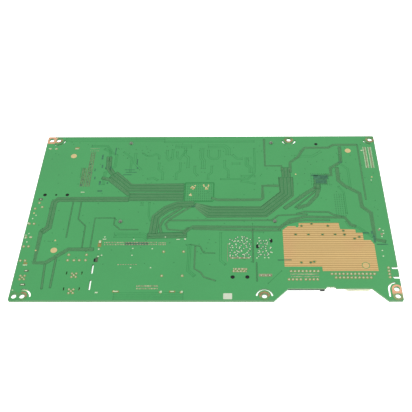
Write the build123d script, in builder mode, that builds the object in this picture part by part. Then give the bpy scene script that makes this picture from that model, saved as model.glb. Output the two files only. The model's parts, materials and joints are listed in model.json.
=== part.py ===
from build123d import *

import os

# A control board that lies with its solder side up and its parts hanging under it.
# Millimetres. X runs along the board, Y towards its back edge and Z up. The origin is on the
# surface that the board rests on, under the middle of the board.

# ---------------------------------------------------------------- driving sizes

# Board
board_width = 300.0
board_depth = 180.0
board_thickness = 1.6
board_corner = 1.5
standing_height = 13.6  # underside of the board above the resting surface
foil = 0.1  # copper and mask that stand proud of the solder side

# Notch in the front edge, with a rounded bite and 45 degree ends
notch_length = 86.9
notch_from_right = 11.1
notch_depth = 11.5
bite_length = 7.5
bite_width = 3.4
bite_from_notch = 44.2

# Mounting places
mount_radius = 2.0
mount_inset_x = 3.8
mount_inset_y = 4.5
mount_pair_gap = 6.3  # from a corner hole to the second hole beside it
back_middle_from_right = 78.2
front_middle_from_notch = 7.0
land_radius = 4.0
land_margin = 0.3
relief_radius = 6.0
relief_width = 1.4
copper_patch = 9.0
copper_patch_width = 6.5

# Fits
pin_radius = 0.5
pin_fit = 0.15  # gap round a pin in its board hole
peg_fit = 0.15
seat_gap = 0.3  # gap between parts that stand side by side
joint_radius = 1.0
joint_height = 0.8
coax_joint_radius = 0.75
sheet = 0.4  # thickness of folded screening sheet
sheet_fit = 0.05  # gap between a housing and the sheet folded round it

# Main processor, memory and their heat sink
processor_x = -8.5
processor_y = 21.3
processor_size = 31.0
processor_height = 2.2
chip_corner = 0.4
thermal_pad_height = 0.5
pad_inset = 2.0
memory_y = 58.0
memory_width = 9.0
memory_depth = 13.0
memory_height = 1.2
memory_pitch = 22.0
memory_count = 4
flash_x = 34.0
flash_width = 18.4
flash_depth = 12.0
flash_height = 1.0
sink_front_share = 0.75  # share of the free depth that lies in front of the heat sink
sink_width = 136.0
sink_depth = 101.0
sink_base = 2.6
sink_corner = 3.0
sink_pin_inset = 4.0
fin_length = 112.0
fin_thickness = 1.6
fin_pitch = 9.4
fin_count = 10
push_pin_radius = 1.5
push_pin_head_radius = 3.4
push_pin_head = 1.4
push_pin_tip_radius = 2.1
push_pin_tip = 2.2
spring_wall = 0.8
spring_height = 3.6

# Second processor on the right
panel_chip_from_right = 53.0
panel_chip_y = 35.2
panel_chip_size = 14.0
panel_chip_height = 1.4
lead_width = 0.3
lead_reach = 1.2
lead_pitch = 0.8
lead_count = 16

# Bare copper field over the power parts
field_from_right = 15.5
field_width = 73.0
field_from_front = 27.5
field_step = 4.3
field_stripe_pitch = 2.15
field_stripe_gap = 0.5
field_sheet = 0.06

# Headers in the notch
header_pitch = 3.0
header_gap = 5.6  # between the two headers
power_width = 27.6
power_depth = 15.2
power_height = 7.0
power_setback = 4.0
power_rear_row = 12.0  # rows of pins, from the housing's front
power_front_row = 4.2
power_pins_per_row = 8
power_gap = 1.0
power_mouth_width = 22.2
power_mouth_depth = 8.7
power_lug_width = 3.6
power_lug_reach = 3.0
power_lug_overhang = 1.0
power_lug_height = 4.2
signal_from_notch_end = 24.5
signal_width = 36.2
signal_depth = 9.4
signal_height = 6.8
signal_setback = 6.2
signal_mouth_width = 20.0
signal_mouth_offset = 3.0
signal_mouth_reach = 4.2
signal_mouth_step = 0.8  # the mouth is this much lower than the housing
signal_mouth_wall = 0.7
signal_mouth_depth = 6.2
signal_rear_row = 7.2
signal_front_row = 3.7
signal_rear_pins = 12
signal_front_pins = 10
header_wall = 1.2
side_header_wall = 0.8

# Header at the right edge, between two slots in the board
side_header_inset = 7.4
side_header_from_front = 26.2
side_header_width = 4.6
side_header_height = 6.0
side_header_pins = 4
edge_slot_length = 5.0
edge_slot_width = 2.2

# Display connectors
display_inset = 44.0
display_from_back = 42.0
display_width = 6.4
display_length = 46.0
display_height = 3.2
display_leads = 46
display_lead_pitch = 0.9
display_lead_width = 0.4
display_slot_height = 1.0
display_slot_margin = 2.0
display_slot_share = 0.6
panel_connector_inset_x = 8.0
panel_connector_inset_y = 27.8
panel_connector_width = 8.6
panel_connector_length = 29.0
panel_connector_height = 5.0
panel_groove_width = 1.4
panel_groove_span = 4.2
panel_floor = 2.0
service_from_right = 39.0
service_y = 6.0
service_width = 10.0
service_length = 26.0
service_height = 4.6
service_wall = 2.0
service_groove = 1.2
service_floor = 1.6

# Receiver can at the back left, with a pegged connector in front of it
receiver_inset = 19.0
receiver_from_back = 44.0
receiver_width = 33.0
receiver_length = 44.0
receiver_height = 5.0
receiver_plug_gap = 3.2
receiver_plug_width = 23.0
receiver_plug_depth = 5.6
receiver_plug_height = 4.0
receiver_peg_inset = 1.9
receiver_peg_radius = 1.4
receiver_key_radius = 0.8
receiver_leg_behind = 6.4

# Card slot that opens at the front edge
card_from_left = 88.2
card_front_inset = 7.0
card_width = 46.4  # clear width between the guides
card_guide = 3.0
card_guide_length = 44.0
card_height = 6.6
card_header_depth = 8.0
card_pitch = 1.27
card_pins = 34
card_row_gap = 2.1
card_pin_size = 0.45
card_pin_reach = 4.5
card_pad_width = 0.7
card_pad_length = 1.1
card_slit_width = 1.3
card_lug_width = 1.8
card_lug_length = 3.3
card_lug_behind = 31.4  # from the guides' front
card_vent_length = 9.0
card_vent_width = 3.0

# Screening can beside the card slot
screen_gap = 0.9
screen_width = 16.4
screen_length = 51.4
screen_height = 5.0

# Network jack
jack_x = 26.45
jack_front_inset = 11.0
jack_width = 16.0
jack_length = 21.5
jack_height = 13.2
jack_mouth_width = 11.8
jack_mouth_height = 8.4
jack_mouth_depth = 14.0
jack_mouth_drop = 0.8
jack_peg_span = 11.43
jack_peg_radius = 1.5
jack_pegs_from_front = 11.0
jack_pin_pitch = 1.4
jack_pins = 8
jack_pin_rows = (5.6, 7.4)  # behind the pegs
jack_contact = 0.4
jack_contact_length = 9.0
jack_contact_pitch = 1.1

# Sockets at the left edge
socket_setback = 0.3
media_from_front = (68.8, 45.1)
media_width = 15.0
media_depth = 11.4
media_height = 5.8
media_tongue_width = 10.8
media_tongue_height = 1.5
media_leg_inset = 0.4
media_leg_insets = (2.2, 6.0)
media_back = 3.0
media_tongue_setback = 1.2
audio_y = 4.2
audio_width = 12.6
audio_depth = 13.4
audio_height = 6.0
audio_bore = 1.8
audio_back = 1.5
coax_from_front = 21.7
coax_depth = 9.4
coax_width = 13.6
coax_height = 7.2
coax_barrel = 3.1
coax_bore = 2.2
coax_contact = 0.5
coax_collar = 3.4  # length of the barrel in front of the body
coax_pin_behind = 3.3  # from the body's front
coax_pin_spread = 1.65
coax_pin_pocket = 0.5
coax_leg_inset = 0.8
coax_slit_length = 3.0
coax_slit_width = 0.9
upright_coax_from_left = 47.0
upright_coax_insets = (8.9, 23.8)  # from the front edge
upright_coax_width = 13.6
upright_coax_depth = 9.6
upright_coax_slit_behind = 2.2
upright_coax_base = 1.5
upright_coax_height = 5.6

# Six-pin choke
choke_from_left = 47.0
choke_from_front = 41.0
choke_width = 17.0
choke_depth = 8.0
choke_base = 1.2
choke_drum_length = 14.0
choke_drum_radius = 3.2
choke_core_radius = 1.6
choke_flange = 1.4
choke_pin_inset_x = 1.4
choke_pin_inset_y = 1.3
choke_tap_x = 2.1
winding_gap = 0.4

# Filter block with two oval legs, near the processor's supply
filter_from_field = 15.3
filter_from_front = 54.8
filter_width = 14.6
filter_depth = 10.4
filter_height = 5.2
filter_leg_inset_x = 1.7
filter_leg_inset_y = 2.3
filter_leg_width = 1.9
filter_leg_length = 3.8

# Power parts under the bare copper
coil_size = 9.0
coil_height = 4.4
coil_corner = 1.2
coil_pot_radius = 3.7
coil_pot_ring = 0.5
coil_pot_groove = 0.4
phase_pitch = 14.5  # from one coil and its switch to the next
phase_count = 4
phase_from_field = 10.5
supply_from_filter = 20.2
switch_width = 5.0
switch_depth = 6.0
switch_height = 1.1
can_radius = 4.0
can_height = 8.6
can_base = 8.4
can_base_height = 0.8
can_pitch = 13.0
amplifier_size = 9.0
amplifier_height = 1.1

# Small surface-mounted parts
small_chip_width = 5.0
small_chip_depth = 4.0
small_chip_height = 1.5
crystal_width = 5.0
crystal_depth = 3.2
crystal_height = 1.0
ceramic_length = 2.0
ceramic_width = 1.2
ceramic_height = 1.2
resistor_length = 1.6
resistor_width = 0.8
resistor_height = 0.45

# Marks and lands on the solder side
round_land_radius = 2.65
test_point_radius = 0.7
track_gap = 0.3
label_x = 17.0
label_inset = 4.2
label_width = 6.8
label_depth = 5.4
label_corner = 0.6

# ---------------------------------------------------------------- places that follow

right_edge = board_width / 2
left_edge = -right_edge
back_edge = board_depth / 2
front_edge = -back_edge
board_bottom = standing_height
board_top = board_bottom + board_thickness
notch_end = right_edge - notch_from_right
notch_start = notch_end - notch_length
notch_edge = front_edge + notch_depth

solder_side = Plane.XY.offset(board_top)
part_side = Plane.XY.offset(board_bottom)

corner_x = right_edge - mount_inset_x
corner_y = back_edge - mount_inset_y
pair_x = corner_x - mount_pair_gap
front_middle_x = notch_start - front_middle_from_notch
back_middle_x = right_edge - back_middle_from_right
mount_corners = [
    (-corner_x, -corner_y),
    (corner_x, -corner_y),
    (corner_x, corner_y),
    (-corner_x, corner_y),
]
mount_extras = [
    (-pair_x, corner_y),
    (-pair_x, -corner_y),
    (corner_x, -corner_y + mount_pair_gap),
    (back_middle_x, corner_y),
    (front_middle_x, -corner_y),
]
# Centre, first angle and sweep of the slots that part a mounting place from the board's heat
mount_reliefs = [
    ((-pair_x, corner_y), 240, 115),
    ((back_middle_x, corner_y), 195, 52),
    ((back_middle_x, corner_y), 293, 52),
    ((corner_x, corner_y), 192, 72),
    ((-pair_x, -corner_y), 0, 100),
    ((front_middle_x, -corner_y), 6, 168),
    ((corner_x, -corner_y + mount_pair_gap), 95, 85),
]

card_front = front_edge + card_front_inset
card_back = card_front + card_guide_length
card_header_back = card_back + card_header_depth
sink_room = back_edge - card_header_back - sink_depth
sink_y = card_header_back + sink_front_share * sink_room + sink_depth / 2
push_pin_places = [
    (processor_x + side * (sink_width / 2 - sink_pin_inset), sink_y + end * (sink_depth / 2 - sink_pin_inset))
    for side in (-1, 1)
    for end in (-1, 1)
]
sink_top = board_bottom - processor_height - thermal_pad_height
sink_bottom = sink_top - sink_base
push_pin_hole = push_pin_radius + peg_fit

signal_x = notch_end - signal_from_notch_end
signal_front = notch_edge + signal_setback
power_x = signal_x - signal_width / 2 - header_gap - power_width / 2
power_front = notch_edge + power_setback
side_header_x = right_edge - side_header_inset
side_header_y = front_edge + side_header_from_front


def row(count, pitch, middle_x, y, gap=0.0):
    """Places in a row along X, with an extra gap between its two halves."""
    first = middle_x - (count - 1) * pitch / 2
    return [(first + i * pitch + (gap / 2 if i >= count / 2 else -gap / 2), y) for i in range(count)]


def column(count, pitch, x, middle_y):
    """Places in a row along Y."""
    return [(x, y) for y, _ in row(count, pitch, middle_y, 0)]


def around(x, y, offsets):
    """Places at given offsets from one point."""
    return [(x + dx, y + dy) for dx, dy in offsets]


staggered_x = power_x - header_pitch / 2
power_pins = row(power_pins_per_row, header_pitch, power_x, power_front + power_rear_row)
power_pins += row(power_pins_per_row, header_pitch, staggered_x, power_front + power_front_row, power_gap)
signal_pins = row(signal_rear_pins, header_pitch, signal_x, signal_front + signal_rear_row)
signal_pins += row(signal_front_pins, header_pitch, signal_x, signal_front + signal_front_row)
side_pins = column(side_header_pins, header_pitch, side_header_x, side_header_y)

card_x = left_edge + card_from_left
card_header_y = card_back + card_header_depth / 2
card_right = card_x + card_width / 2 + card_guide
card_left = card_x - card_width / 2 - card_guide
card_slit_x = card_left - card_slit_width
card_slits = [(card_slit_x, card_front + 22.8, 9.0), (card_slit_x, card_front + 7.8, 9.6)]
card_lug = (card_left - card_lug_width / 2 + sheet, card_front + card_lug_behind)

screen_x = card_right + screen_gap + screen_width / 2
screen_y = card_front + screen_length / 2
screen_leg_x = (screen_width - sheet) / 2
screen_leg_steps = (1 - screen_length / 2, -9.5, 14)
screen_leg_offsets = [(side * screen_leg_x, dy) for side in (-1, 1) for dy in screen_leg_steps]
screen_legs = around(screen_x, screen_y, screen_leg_offsets)

jack_front = front_edge + jack_front_inset
jack_peg_y = jack_front + jack_pegs_from_front
jack_pegs = [(jack_x - jack_peg_span / 2, jack_peg_y), (jack_x + jack_peg_span / 2, jack_peg_y)]
jack_pin_row = row(jack_pins, jack_pin_pitch, jack_x, jack_peg_y)
jack_pin_places = [(x, y + jack_pin_rows[i % 2]) for i, (x, y) in enumerate(jack_pin_row)]

socket_front = left_edge + socket_setback
media_y = [front_edge + distance for distance in media_from_front]
media_legs = [
    (left_edge + inset, y + side * (media_width / 2 - media_leg_inset))
    for y in media_y
    for inset in media_leg_insets
    for side in (-1, 1)
]
audio_pins = around(left_edge, audio_y, [(6.3, 4.7), (3.8, -1.7), (9.5, 0.0)])
spread = [(0, 0)] + [(sx * coax_pin_spread, sy * coax_pin_spread) for sx in (-1, 1) for sy in (-1, 1)]
coax_y = front_edge + coax_from_front
coax_body = socket_front + coax_collar
coax_x = coax_body + coax_pin_behind
upright_coax_x = left_edge + upright_coax_from_left
upright_coax = [(upright_coax_x, front_edge + inset) for inset in upright_coax_insets]
coax_pins = [pin for x, y in [(coax_x, coax_y)] + upright_coax for pin in around(x, y, spread)]
coax_leg_reach = coax_width / 2 - coax_leg_inset
upright_slit_reach = upright_coax_width / 2 - coax_leg_inset
coax_slits = [
    (x + side * upright_slit_reach, y + upright_coax_slit_behind) for x, y in upright_coax for side in (-1, 1)
]
coax_side_slits = [(coax_x + coax_pin_spread, coax_y + side * coax_leg_reach) for side in (-1, 1)]
choke_x = left_edge + choke_from_left
choke_y = front_edge + choke_from_front
choke_dx = choke_width / 2 - choke_pin_inset_x
choke_dy = choke_depth / 2 - choke_pin_inset_y
choke_corners = [(side * choke_dx, end * choke_dy) for side in (-1, 1) for end in (-1, 1)]
choke_pins = around(choke_x, choke_y, choke_corners + [(-choke_tap_x, -choke_dy), (choke_tap_x, -choke_dy)])

field_right = right_edge - field_from_right
field_left = field_right - field_width
field_front_y = front_edge + field_from_front
filter_x = field_left - filter_from_field
filter_y = front_edge + filter_from_front
filter_leg_dx = filter_width / 2 - filter_leg_inset_x
filter_leg_dy = filter_depth / 2 - filter_leg_inset_y
filter_legs = around(filter_x, filter_y, [(filter_leg_dx, filter_leg_dy), (-filter_leg_dx, -filter_leg_dy)])
supply_x = filter_x - supply_from_filter

receiver_x = left_edge + receiver_inset
receiver_y = back_edge - receiver_from_back
receiver_plug_y = receiver_y - receiver_length / 2 - receiver_plug_gap - receiver_plug_depth / 2
receiver_peg_reach = receiver_plug_width / 2 - receiver_peg_inset
receiver_pegs = [(receiver_x + side * receiver_peg_reach, receiver_plug_y) for side in (-1, 1)]
receiver_leg_y = receiver_y + receiver_length / 2 + receiver_leg_behind
receiver_legs = [(receiver_x + dx, receiver_leg_y) for dx in (-14.5, -9.0, 8.7)]
display_x = left_edge + display_inset
display_y = back_edge - display_from_back
panel_connector_x = right_edge - panel_connector_inset_x
panel_connector_y = back_edge - panel_connector_inset_y
panel_chip_x = right_edge - panel_chip_from_right
service_x = right_edge - service_from_right

# ---------------------------------------------------------------- helpers


def hang(places, width, depth, height, corner=0.0, level=board_bottom):
    """Equal blocks that hang from a level, one solid at each place."""
    with BuildPart() as group:
        with BuildSketch(Plane.XY.offset(level)):
            with Locations(*places):
                if corner:
                    RectangleRounded(width, depth, corner)
                else:
                    Rectangle(width, depth)
        extrude(amount=-height)
    return group


def pins(places, radius, start, end):
    """Straight round pins between two levels, one solid at each place."""
    with BuildPart() as group:
        with BuildSketch(Plane.XY.offset(start)):
            with Locations(*places):
                RegularPolygon(radius, 8)
        extrude(amount=end - start)
    return group


def joints(places, radius=joint_radius):
    """Solder cones on the solder side, one at each place."""
    with BuildPart() as group:
        with BuildSketch(solder_side):
            with Locations(*places):
                RegularPolygon(radius, 8)
        extrude(amount=joint_height, taper=30)
    return group


def discs(places, radius):
    """Flat round lands on the solder side."""
    with BuildPart() as group:
        with BuildSketch(solder_side):
            with Locations(*places):
                Circle(radius)
        extrude(amount=foil)
    return group


def folded_can(x, y, width, depth, height):
    """A can folded from sheet, closed below and open against the board."""
    with BuildPart() as can:
        with BuildSketch(part_side):
            with Locations((x, y)):
                RectangleRounded(width, depth, 2 * sheet)
        extrude(amount=-height)
        with BuildSketch(part_side):
            with Locations((x, y)):
                RectangleRounded(width - 2 * sheet, depth - 2 * sheet, sheet)
        extrude(amount=-(height - sheet), mode=Mode.SUBTRACT)
    return can


def write(piece, name):
    """Label a finished piece and write it under its own name."""
    piece.part.label = name
    export_step(piece.part, f"parts/{name}.step")


os.makedirs("parts", exist_ok=True)

# ---------------------------------------------------------------- board

header_holes = power_pins + signal_pins + side_pins
socket_holes = media_legs + audio_pins + coax_pins + choke_pins + jack_pin_places

with BuildPart() as circuit_board:
    with BuildSketch(part_side) as outline:
        with BuildLine():
            Polyline(
                (left_edge, front_edge),
                (notch_start, front_edge),
                (notch_start + notch_depth, notch_edge),
                (notch_end - notch_depth, notch_edge),
                (notch_end, front_edge),
                (right_edge, front_edge),
                (right_edge, back_edge),
                (left_edge, back_edge),
                close=True,
            )
        make_face()
        by_side = outline.vertices().group_by(Axis.X)
        fillet(by_side[0] + by_side[-1], board_corner)
        with Locations((notch_start + bite_from_notch, notch_edge)):
            SlotOverall(bite_length, bite_width, mode=Mode.SUBTRACT)
        with Locations((right_edge - (edge_slot_length - edge_slot_width) / 2, side_header_y)):
            with GridLocations(0, 3 * header_pitch, 1, 2):
                SlotOverall(edge_slot_length + edge_slot_width, edge_slot_width, mode=Mode.SUBTRACT)
        with Locations(*mount_corners, *mount_extras):
            Circle(mount_radius, mode=Mode.SUBTRACT)
        for centre, first_angle, sweep_angle in mount_reliefs:
            relief = CenterArc(centre, relief_radius, first_angle, sweep_angle)
            SlotArc(relief, relief_width, mode=Mode.SUBTRACT)
        with Locations((corner_x - relief_radius, -corner_y + mount_pair_gap / 2)):
            SlotOverall(mount_pair_gap + relief_width, relief_width, rotation=90, mode=Mode.SUBTRACT)
        with Locations(*push_pin_places):
            Circle(push_pin_hole, mode=Mode.SUBTRACT)
        with Locations(*header_holes, *socket_holes):
            Circle(pin_radius + pin_fit, mode=Mode.SUBTRACT)
        with Locations(*jack_pegs):
            Circle(jack_peg_radius + peg_fit, mode=Mode.SUBTRACT)
        with Locations(*receiver_pegs):
            Circle(receiver_peg_radius + peg_fit, mode=Mode.SUBTRACT)
        with Locations((receiver_x, receiver_plug_y)):
            Circle(receiver_key_radius + peg_fit, mode=Mode.SUBTRACT)
        with Locations(*filter_legs):
            SlotOverall(
                filter_leg_length + 2 * peg_fit,
                filter_leg_width + 2 * peg_fit,
                rotation=90,
                mode=Mode.SUBTRACT,
            )
        for x, y, length in card_slits:
            with Locations((x, y)):
                SlotOverall(length, card_slit_width, rotation=90, mode=Mode.SUBTRACT)
        with Locations(*coax_slits):
            SlotOverall(coax_slit_length, coax_slit_width, rotation=90, mode=Mode.SUBTRACT)
        with Locations(*coax_side_slits):
            SlotOverall(coax_slit_length, coax_slit_width, mode=Mode.SUBTRACT)
        with Locations(card_lug):
            SlotOverall(
                card_lug_length + 2 * peg_fit,
                card_lug_width + 2 * peg_fit,
                rotation=90,
                mode=Mode.SUBTRACT,
            )
    extrude(amount=board_thickness)
write(circuit_board, "circuit_board")

# ---------------------------------------------------------------- copper on the solder side

with BuildPart() as mounting_lands:
    with BuildSketch(solder_side):
        with Locations(*mount_corners, *mount_extras):
            Circle(land_radius)
        with Locations((-corner_x, corner_y)):
            Rectangle(copper_patch_width, copper_patch)
        with Locations((corner_x, -corner_y + mount_pair_gap / 2)):
            Rectangle(2 * land_radius, mount_pair_gap)
        Rectangle(board_width - 2 * land_margin, board_depth - 2 * land_margin, mode=Mode.INTERSECT)
        with Locations(*mount_corners, *mount_extras):
            Circle(mount_radius + land_margin, mode=Mode.SUBTRACT)
        with Locations(*push_pin_places):
            Circle(push_pin_tip_radius + track_gap, mode=Mode.SUBTRACT)
        with Locations(*receiver_legs):
            Circle(joint_radius + track_gap, mode=Mode.SUBTRACT)
    extrude(amount=foil)
write(mounting_lands, "mounting_lands")

field_steps = [
    (0, field_step),
    (0, 41.0),
    (4.5, 45.3),
    (13.5, 45.3),
    (13.5, 48.7),
    (46.5, 48.7),
    (47.0, 42.3),
    (59.5, 41.5),
    (59.5, 38.2),
    (65.0, 38.2),
    (65.0, 30.6),
    (70.5, 30.6),
    (field_width, 26.2),
    (field_width, 0),
    (29.5, 0),
    (29.5, field_step),
]
field_spots = [
    (12, 45.0), (37.2, 45.5), (24.1, 47.5), (10.6, 36.3), (20.6, 36.3), (32.1, 36.3), (42.4, 36.3),
    (50.3, 35.9), (49.7, 40.2), (57.6, 31.7), (61.7, 33.9), (13.4, 8.0), (21.1, 8.3), (24.0, 9.3),
]
field_spot_radius = 1.1
field_disc = (63.7, 5.4)

with BuildPart() as copper_heat_field:
    with BuildSketch(solder_side) as field:
        with BuildLine():
            Polyline(*around(field_left, field_front_y, field_steps), close=True)
        make_face()
        with Locations(*around(field_left, field_front_y, field_spots)):
            Circle(field_spot_radius, mode=Mode.SUBTRACT)
        with Locations((field_left + field_disc[0], field_front_y + field_disc[1])):
            Circle(round_land_radius + field_stripe_gap, mode=Mode.SUBTRACT)
    extrude(amount=field_sheet)
    with BuildSketch(Plane.XY.offset(board_top + field_sheet)):
        add(field.sketch)
        stripe_count = int(field_steps[5][1] / field_stripe_pitch) + 1
        for i in range(stripe_count):
            with Locations((field_left + field_width / 2, field_front_y + field_stripe_pitch * (i + 0.5))):
                Rectangle(field_width, field_stripe_gap, mode=Mode.SUBTRACT)
    extrude(amount=foil - field_sheet)
    with BuildSketch(solder_side):
        with Locations((field_left + field_disc[0], field_front_y + field_disc[1])):
            Circle(round_land_radius)
    extrude(amount=foil)
write(copper_heat_field, "copper_heat_field")

round_land_places = [
    (left_edge + 27.2, back_edge - 25.1),
    (left_edge + 27.2, front_edge + 48.2),
    (right_edge - 25.5, back_edge - 19.2),
]
round_lands = discs(round_land_places, round_land_radius)
write(round_lands, "round_lands")

# Small bare spots, each group from the corner or the part that it belongs to
left_spots = [(3.8, 65.5), (3.8, 56.8), (6.6, 33.7), (2.0, 10.0), (6.6, 102.9), (6.0, 85.1), (3.8, 81.5)]
right_spots = [(-9.0, 70.0), (-6.5, 68.1), (-6.5, 65.1), (-8.2, 61.7), (-9.9, 47.5), (-9.9, 42.0)]
back_spots = [(-9.0, -55.5), (-13.5, -19.0)]
network_spots = [(-9.0, 23.7), (-5.6, 23.7), (-2.5, 23.7)]
processor_spots = [(-5.0, 5.4), (6.0, 5.4), (-7.4, -3.8)]
card_spots = [(2.3, 59.2), (2.3, 50.0), (2.3, 43.2), (2.3, 31.0), (18.0, 49.7), (18.0, 31.0)]
guide_spots = [(-21.6, 61.8), (27.7, 61.6)]
supply_spots = [
    (2.3, 61.7), (6.4, 60.2), (2.1, 58.0), (6.3, 56.8), (-0.7, 57.4), (-3.5, 57.4),
    (-8.0, 54.3), (-2.7, 54.3), (3.9, 54.6), (-5.3, 50.9), (0.4, 51.1), (5.8, 51.2),
    (8.5, 49.4), (-3.6, 46.0), (-1.0, 46.6), (1.9, 47.2), (6.3, 45.7), (-2.7, 43.5),
    (3.8, 43.8), (-7.2, 43.2), (-5.3, 40.3), (0.4, 40.5), (3.9, 40.5), (7.2, 40.5),
]
filter_spots = [
    (-4.1, 60.6), (-4.0, 57.4), (1.7, 58.0), (2.1, 54.3), (5.1, 50.9), (-4.0, 46.3), (-1.4, 46.4),
    (1.4, 47.5), (-3.4, 43.7), (3.0, 44.2), (5.7, 45.8), (-6.2, 40.3), (-0.1, 40.6), (3.0, 40.6),
]
marks = (
    around(left_edge, front_edge, left_spots)
    + around(right_edge, front_edge, right_spots)
    + around(right_edge, back_edge, back_spots)
    + around(notch_start, front_edge, network_spots)
    + around(processor_x, processor_y, processor_spots)
    + around(card_x, front_edge, card_spots + guide_spots)
    + around(supply_x, front_edge, supply_spots)
    + around(filter_x, front_edge, filter_spots)
)

# Groups of tracks under the mask: the width of the group, then the bends of its middle line.
# X is from the left edge, the middle and the right edge of the board in turn.
left_runs = [
    (9.4, [(127, 26), (81.5, 26), (65.5, 42)]),
    (4.6, [(65.5, 42), (60.5, 50), (59.5, 64)]),
    (3.4, [(82, 17.6), (63, 35.6), (56, 38)]),
    (5.2, [(82, 12.7), (22, 12.7), (18.8, 9.5), (18.8, -18), (14, -23)]),
    (3.2, [(13.4, -22), (12.8, -50), (16.4, -54.4), (22.4, -54.4), (38.6, -40.8), (59, -40.8)]),
    (1.4, [(30.3, -49), (30.3, -78)]),
    (1.4, [(22.4, -55), (24, -79)]),
    (0.8, [(35, 9.8), (35, -28.5)]),
    (0.8, [(42, 9.8), (42, -9), (49, -16.5), (49.4, -39)]),
    (0.8, [(72.5, -8), (56, -8), (56, -39)]),
    (0.8, [(72.5, -8), (72.5, -15), (78, -20.5), (93, -20.5)]),
]
middle_runs = [
    (9.0, [(-23, 15.6), (-68, 15.6)]),
    (7.0, [(-22, 9), (-34, 6.4), (-46, -6), (-47.4, -21)]),
    (2.0, [(-15, 6), (-20, 4), (-36.5, -11), (-38.2, -16)]),
    (6.0, [(-50, -26), (-20, -26)]),
    (2.2, [(-38.2, -15), (-34.5, -21.5), (-22, -23)]),
    (1.2, [(-37, -10.5), (-26, -10.8), (62, -10.8)]),
    (1.6, [(60, -21.6), (38, -21.6), (-12, -19.8)]),
    (12.6, [(-12, 3.2), (-2, -1.6), (46.6, -1.6), (66.8, 18.6), (66.8, 38)]),
    (7.4, [(67.4, 38), (67.4, 50)]),
    (1.6, [(49.2, 86), (49.2, 52), (63.8, 52), (63.8, 46)]),
    (2.4, [(2.5, 14), (8, 11.9), (44, 11.9), (46.3, 14), (46.3, 28), (61, 28)]),
    (0.8, [(37, -20), (37, -54)]),
    (0.8, [(39.6, -54), (39.6, -72)]),
    (1.0, [(-9.4, -38), (-9.4, -60), (-4.4, -63.5), (-1.6, -68), (7.5, -71.5)]),
    (0.7, [(-13.6, -36), (-5.5, -38), (-2.5, -44.5), (6.5, -44.8)]),
]
right_runs = [
    (2.4, [(-170, -25), (-165.5, -20.5), (-162, -17.5), (-92, -17.5), (-82, -8.5), (-74, -5.5)]),
    (2.2, [
        (-78.8, 44), (-78.4, 56), (-70.6, 63.4), (-67.6, 70),
        (-64, 74.8), (-43, 74.8), (-38, 78.5), (-16.3, 78.5),
    ]),
    (1.0, [(-16.3, 78), (-16.3, 12)]),
    (11.0, [(-53, 41), (-53, 30)]),
    (5.6, [(-56.6, 30), (-56.6, 24)]),
    (2.6, [(-57.5, 26), (-65.5, 20), (-86, 2)]),
    (2.6, [(-55, 25), (-58, 16), (-66, 6), (-75, 2.6)]),
    (2.6, [(-64, 15), (-76, 2.6)]),
    (2.6, [(-49, 40.4), (-43.2, 40.4), (-43.2, 49), (-33.2, 57), (-32.6, 76)]),
    (2.2, [(-37.5, 50), (-37.5, 34), (-33, 28), (-21, 19), (-20.6, 3.8), (-14, -3), (-14, -31), (-6, -33.5)]),
    (2.4, [(-74, -5.5), (-51, -5), (-44, -10.5), (-32, -14.5), (-28.6, -19.4), (-22, -25)]),
]

with BuildPart() as signal_tracks:
    for origin, runs in ((left_edge, left_runs), (0, middle_runs), (right_edge, right_runs)):
        for run_width, bends in runs:
            with BuildSketch(solder_side):
                with BuildLine():
                    Polyline(*around(origin, 0, bends))
                trace(line_width=run_width)
                Rectangle(board_width - 2 * land_margin, board_depth - 2 * land_margin, mode=Mode.INTERSECT)
            extrude(amount=foil)
    with BuildSketch(solder_side):
        with Locations(*push_pin_places):
            Circle(push_pin_tip_radius + track_gap)
        with Locations(*marks, *header_holes, *socket_holes, *screen_legs, *receiver_legs):
            Circle(joint_radius + track_gap)
        with Locations(*round_land_places):
            Circle(round_land_radius + track_gap)
        with Locations((card_x, card_header_y)):
            Rectangle(card_pins * card_pitch, card_row_gap + card_pad_length + 2 * track_gap)
        add(field.sketch)
    extrude(amount=foil, mode=Mode.SUBTRACT)
write(signal_tracks, "signal_tracks")

test_points = discs(marks, test_point_radius)
write(test_points, "test_points")

header_joints = joints(header_holes)
write(header_joints, "header_joints")
socket_joints = joints(media_legs + audio_pins + choke_pins + screen_legs + receiver_legs)
write(socket_joints, "socket_joints")
coax_joints = joints(coax_pins + jack_pin_places, coax_joint_radius)
write(coax_joints, "coax_joints")

card_rows = [
    place
    for dy in (-card_row_gap / 2, card_row_gap / 2)
    for place in row(card_pins, card_pitch, card_x, card_header_y + dy)
]
with BuildPart() as card_joints:
    with BuildSketch(solder_side):
        with Locations(*card_rows):
            Rectangle(card_pad_width, card_pad_length)
    extrude(amount=foil)
write(card_joints, "card_joints")

with BuildPart() as blank_label:
    with BuildSketch(solder_side):
        with Locations((label_x, front_edge + label_inset)):
            RectangleRounded(label_width, label_depth, label_corner)
    extrude(amount=foil)
write(blank_label, "blank_label")

# ---------------------------------------------------------------- processor, memory and heat sink

processor_place = (processor_x, processor_y)
main_processor = hang([processor_place], processor_size, processor_size, processor_height, chip_corner)
write(main_processor, "main_processor")
memory_places = row(memory_count, memory_pitch, processor_x, memory_y)
memory_chips = hang(memory_places, memory_width, memory_depth, memory_height, chip_corner)
write(memory_chips, "memory_chips")
with BuildPart() as thermal_pads:
    with BuildSketch(Plane.XY.offset(sink_top)):
        with Locations((processor_x, processor_y)):
            Rectangle(processor_size - 2 * pad_inset, processor_size - 2 * pad_inset)
    extrude(amount=thermal_pad_height)
    with BuildSketch(Plane.XY.offset(sink_top)):
        with Locations(*memory_places):
            Rectangle(memory_width - pad_inset, memory_depth - pad_inset)
    extrude(amount=board_bottom - memory_height - sink_top)
write(thermal_pads, "thermal_pads")
flash_chip = hang([(flash_x, processor_y)], flash_width, flash_depth, flash_height, chip_corner)
write(flash_chip, "flash_chip")

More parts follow.
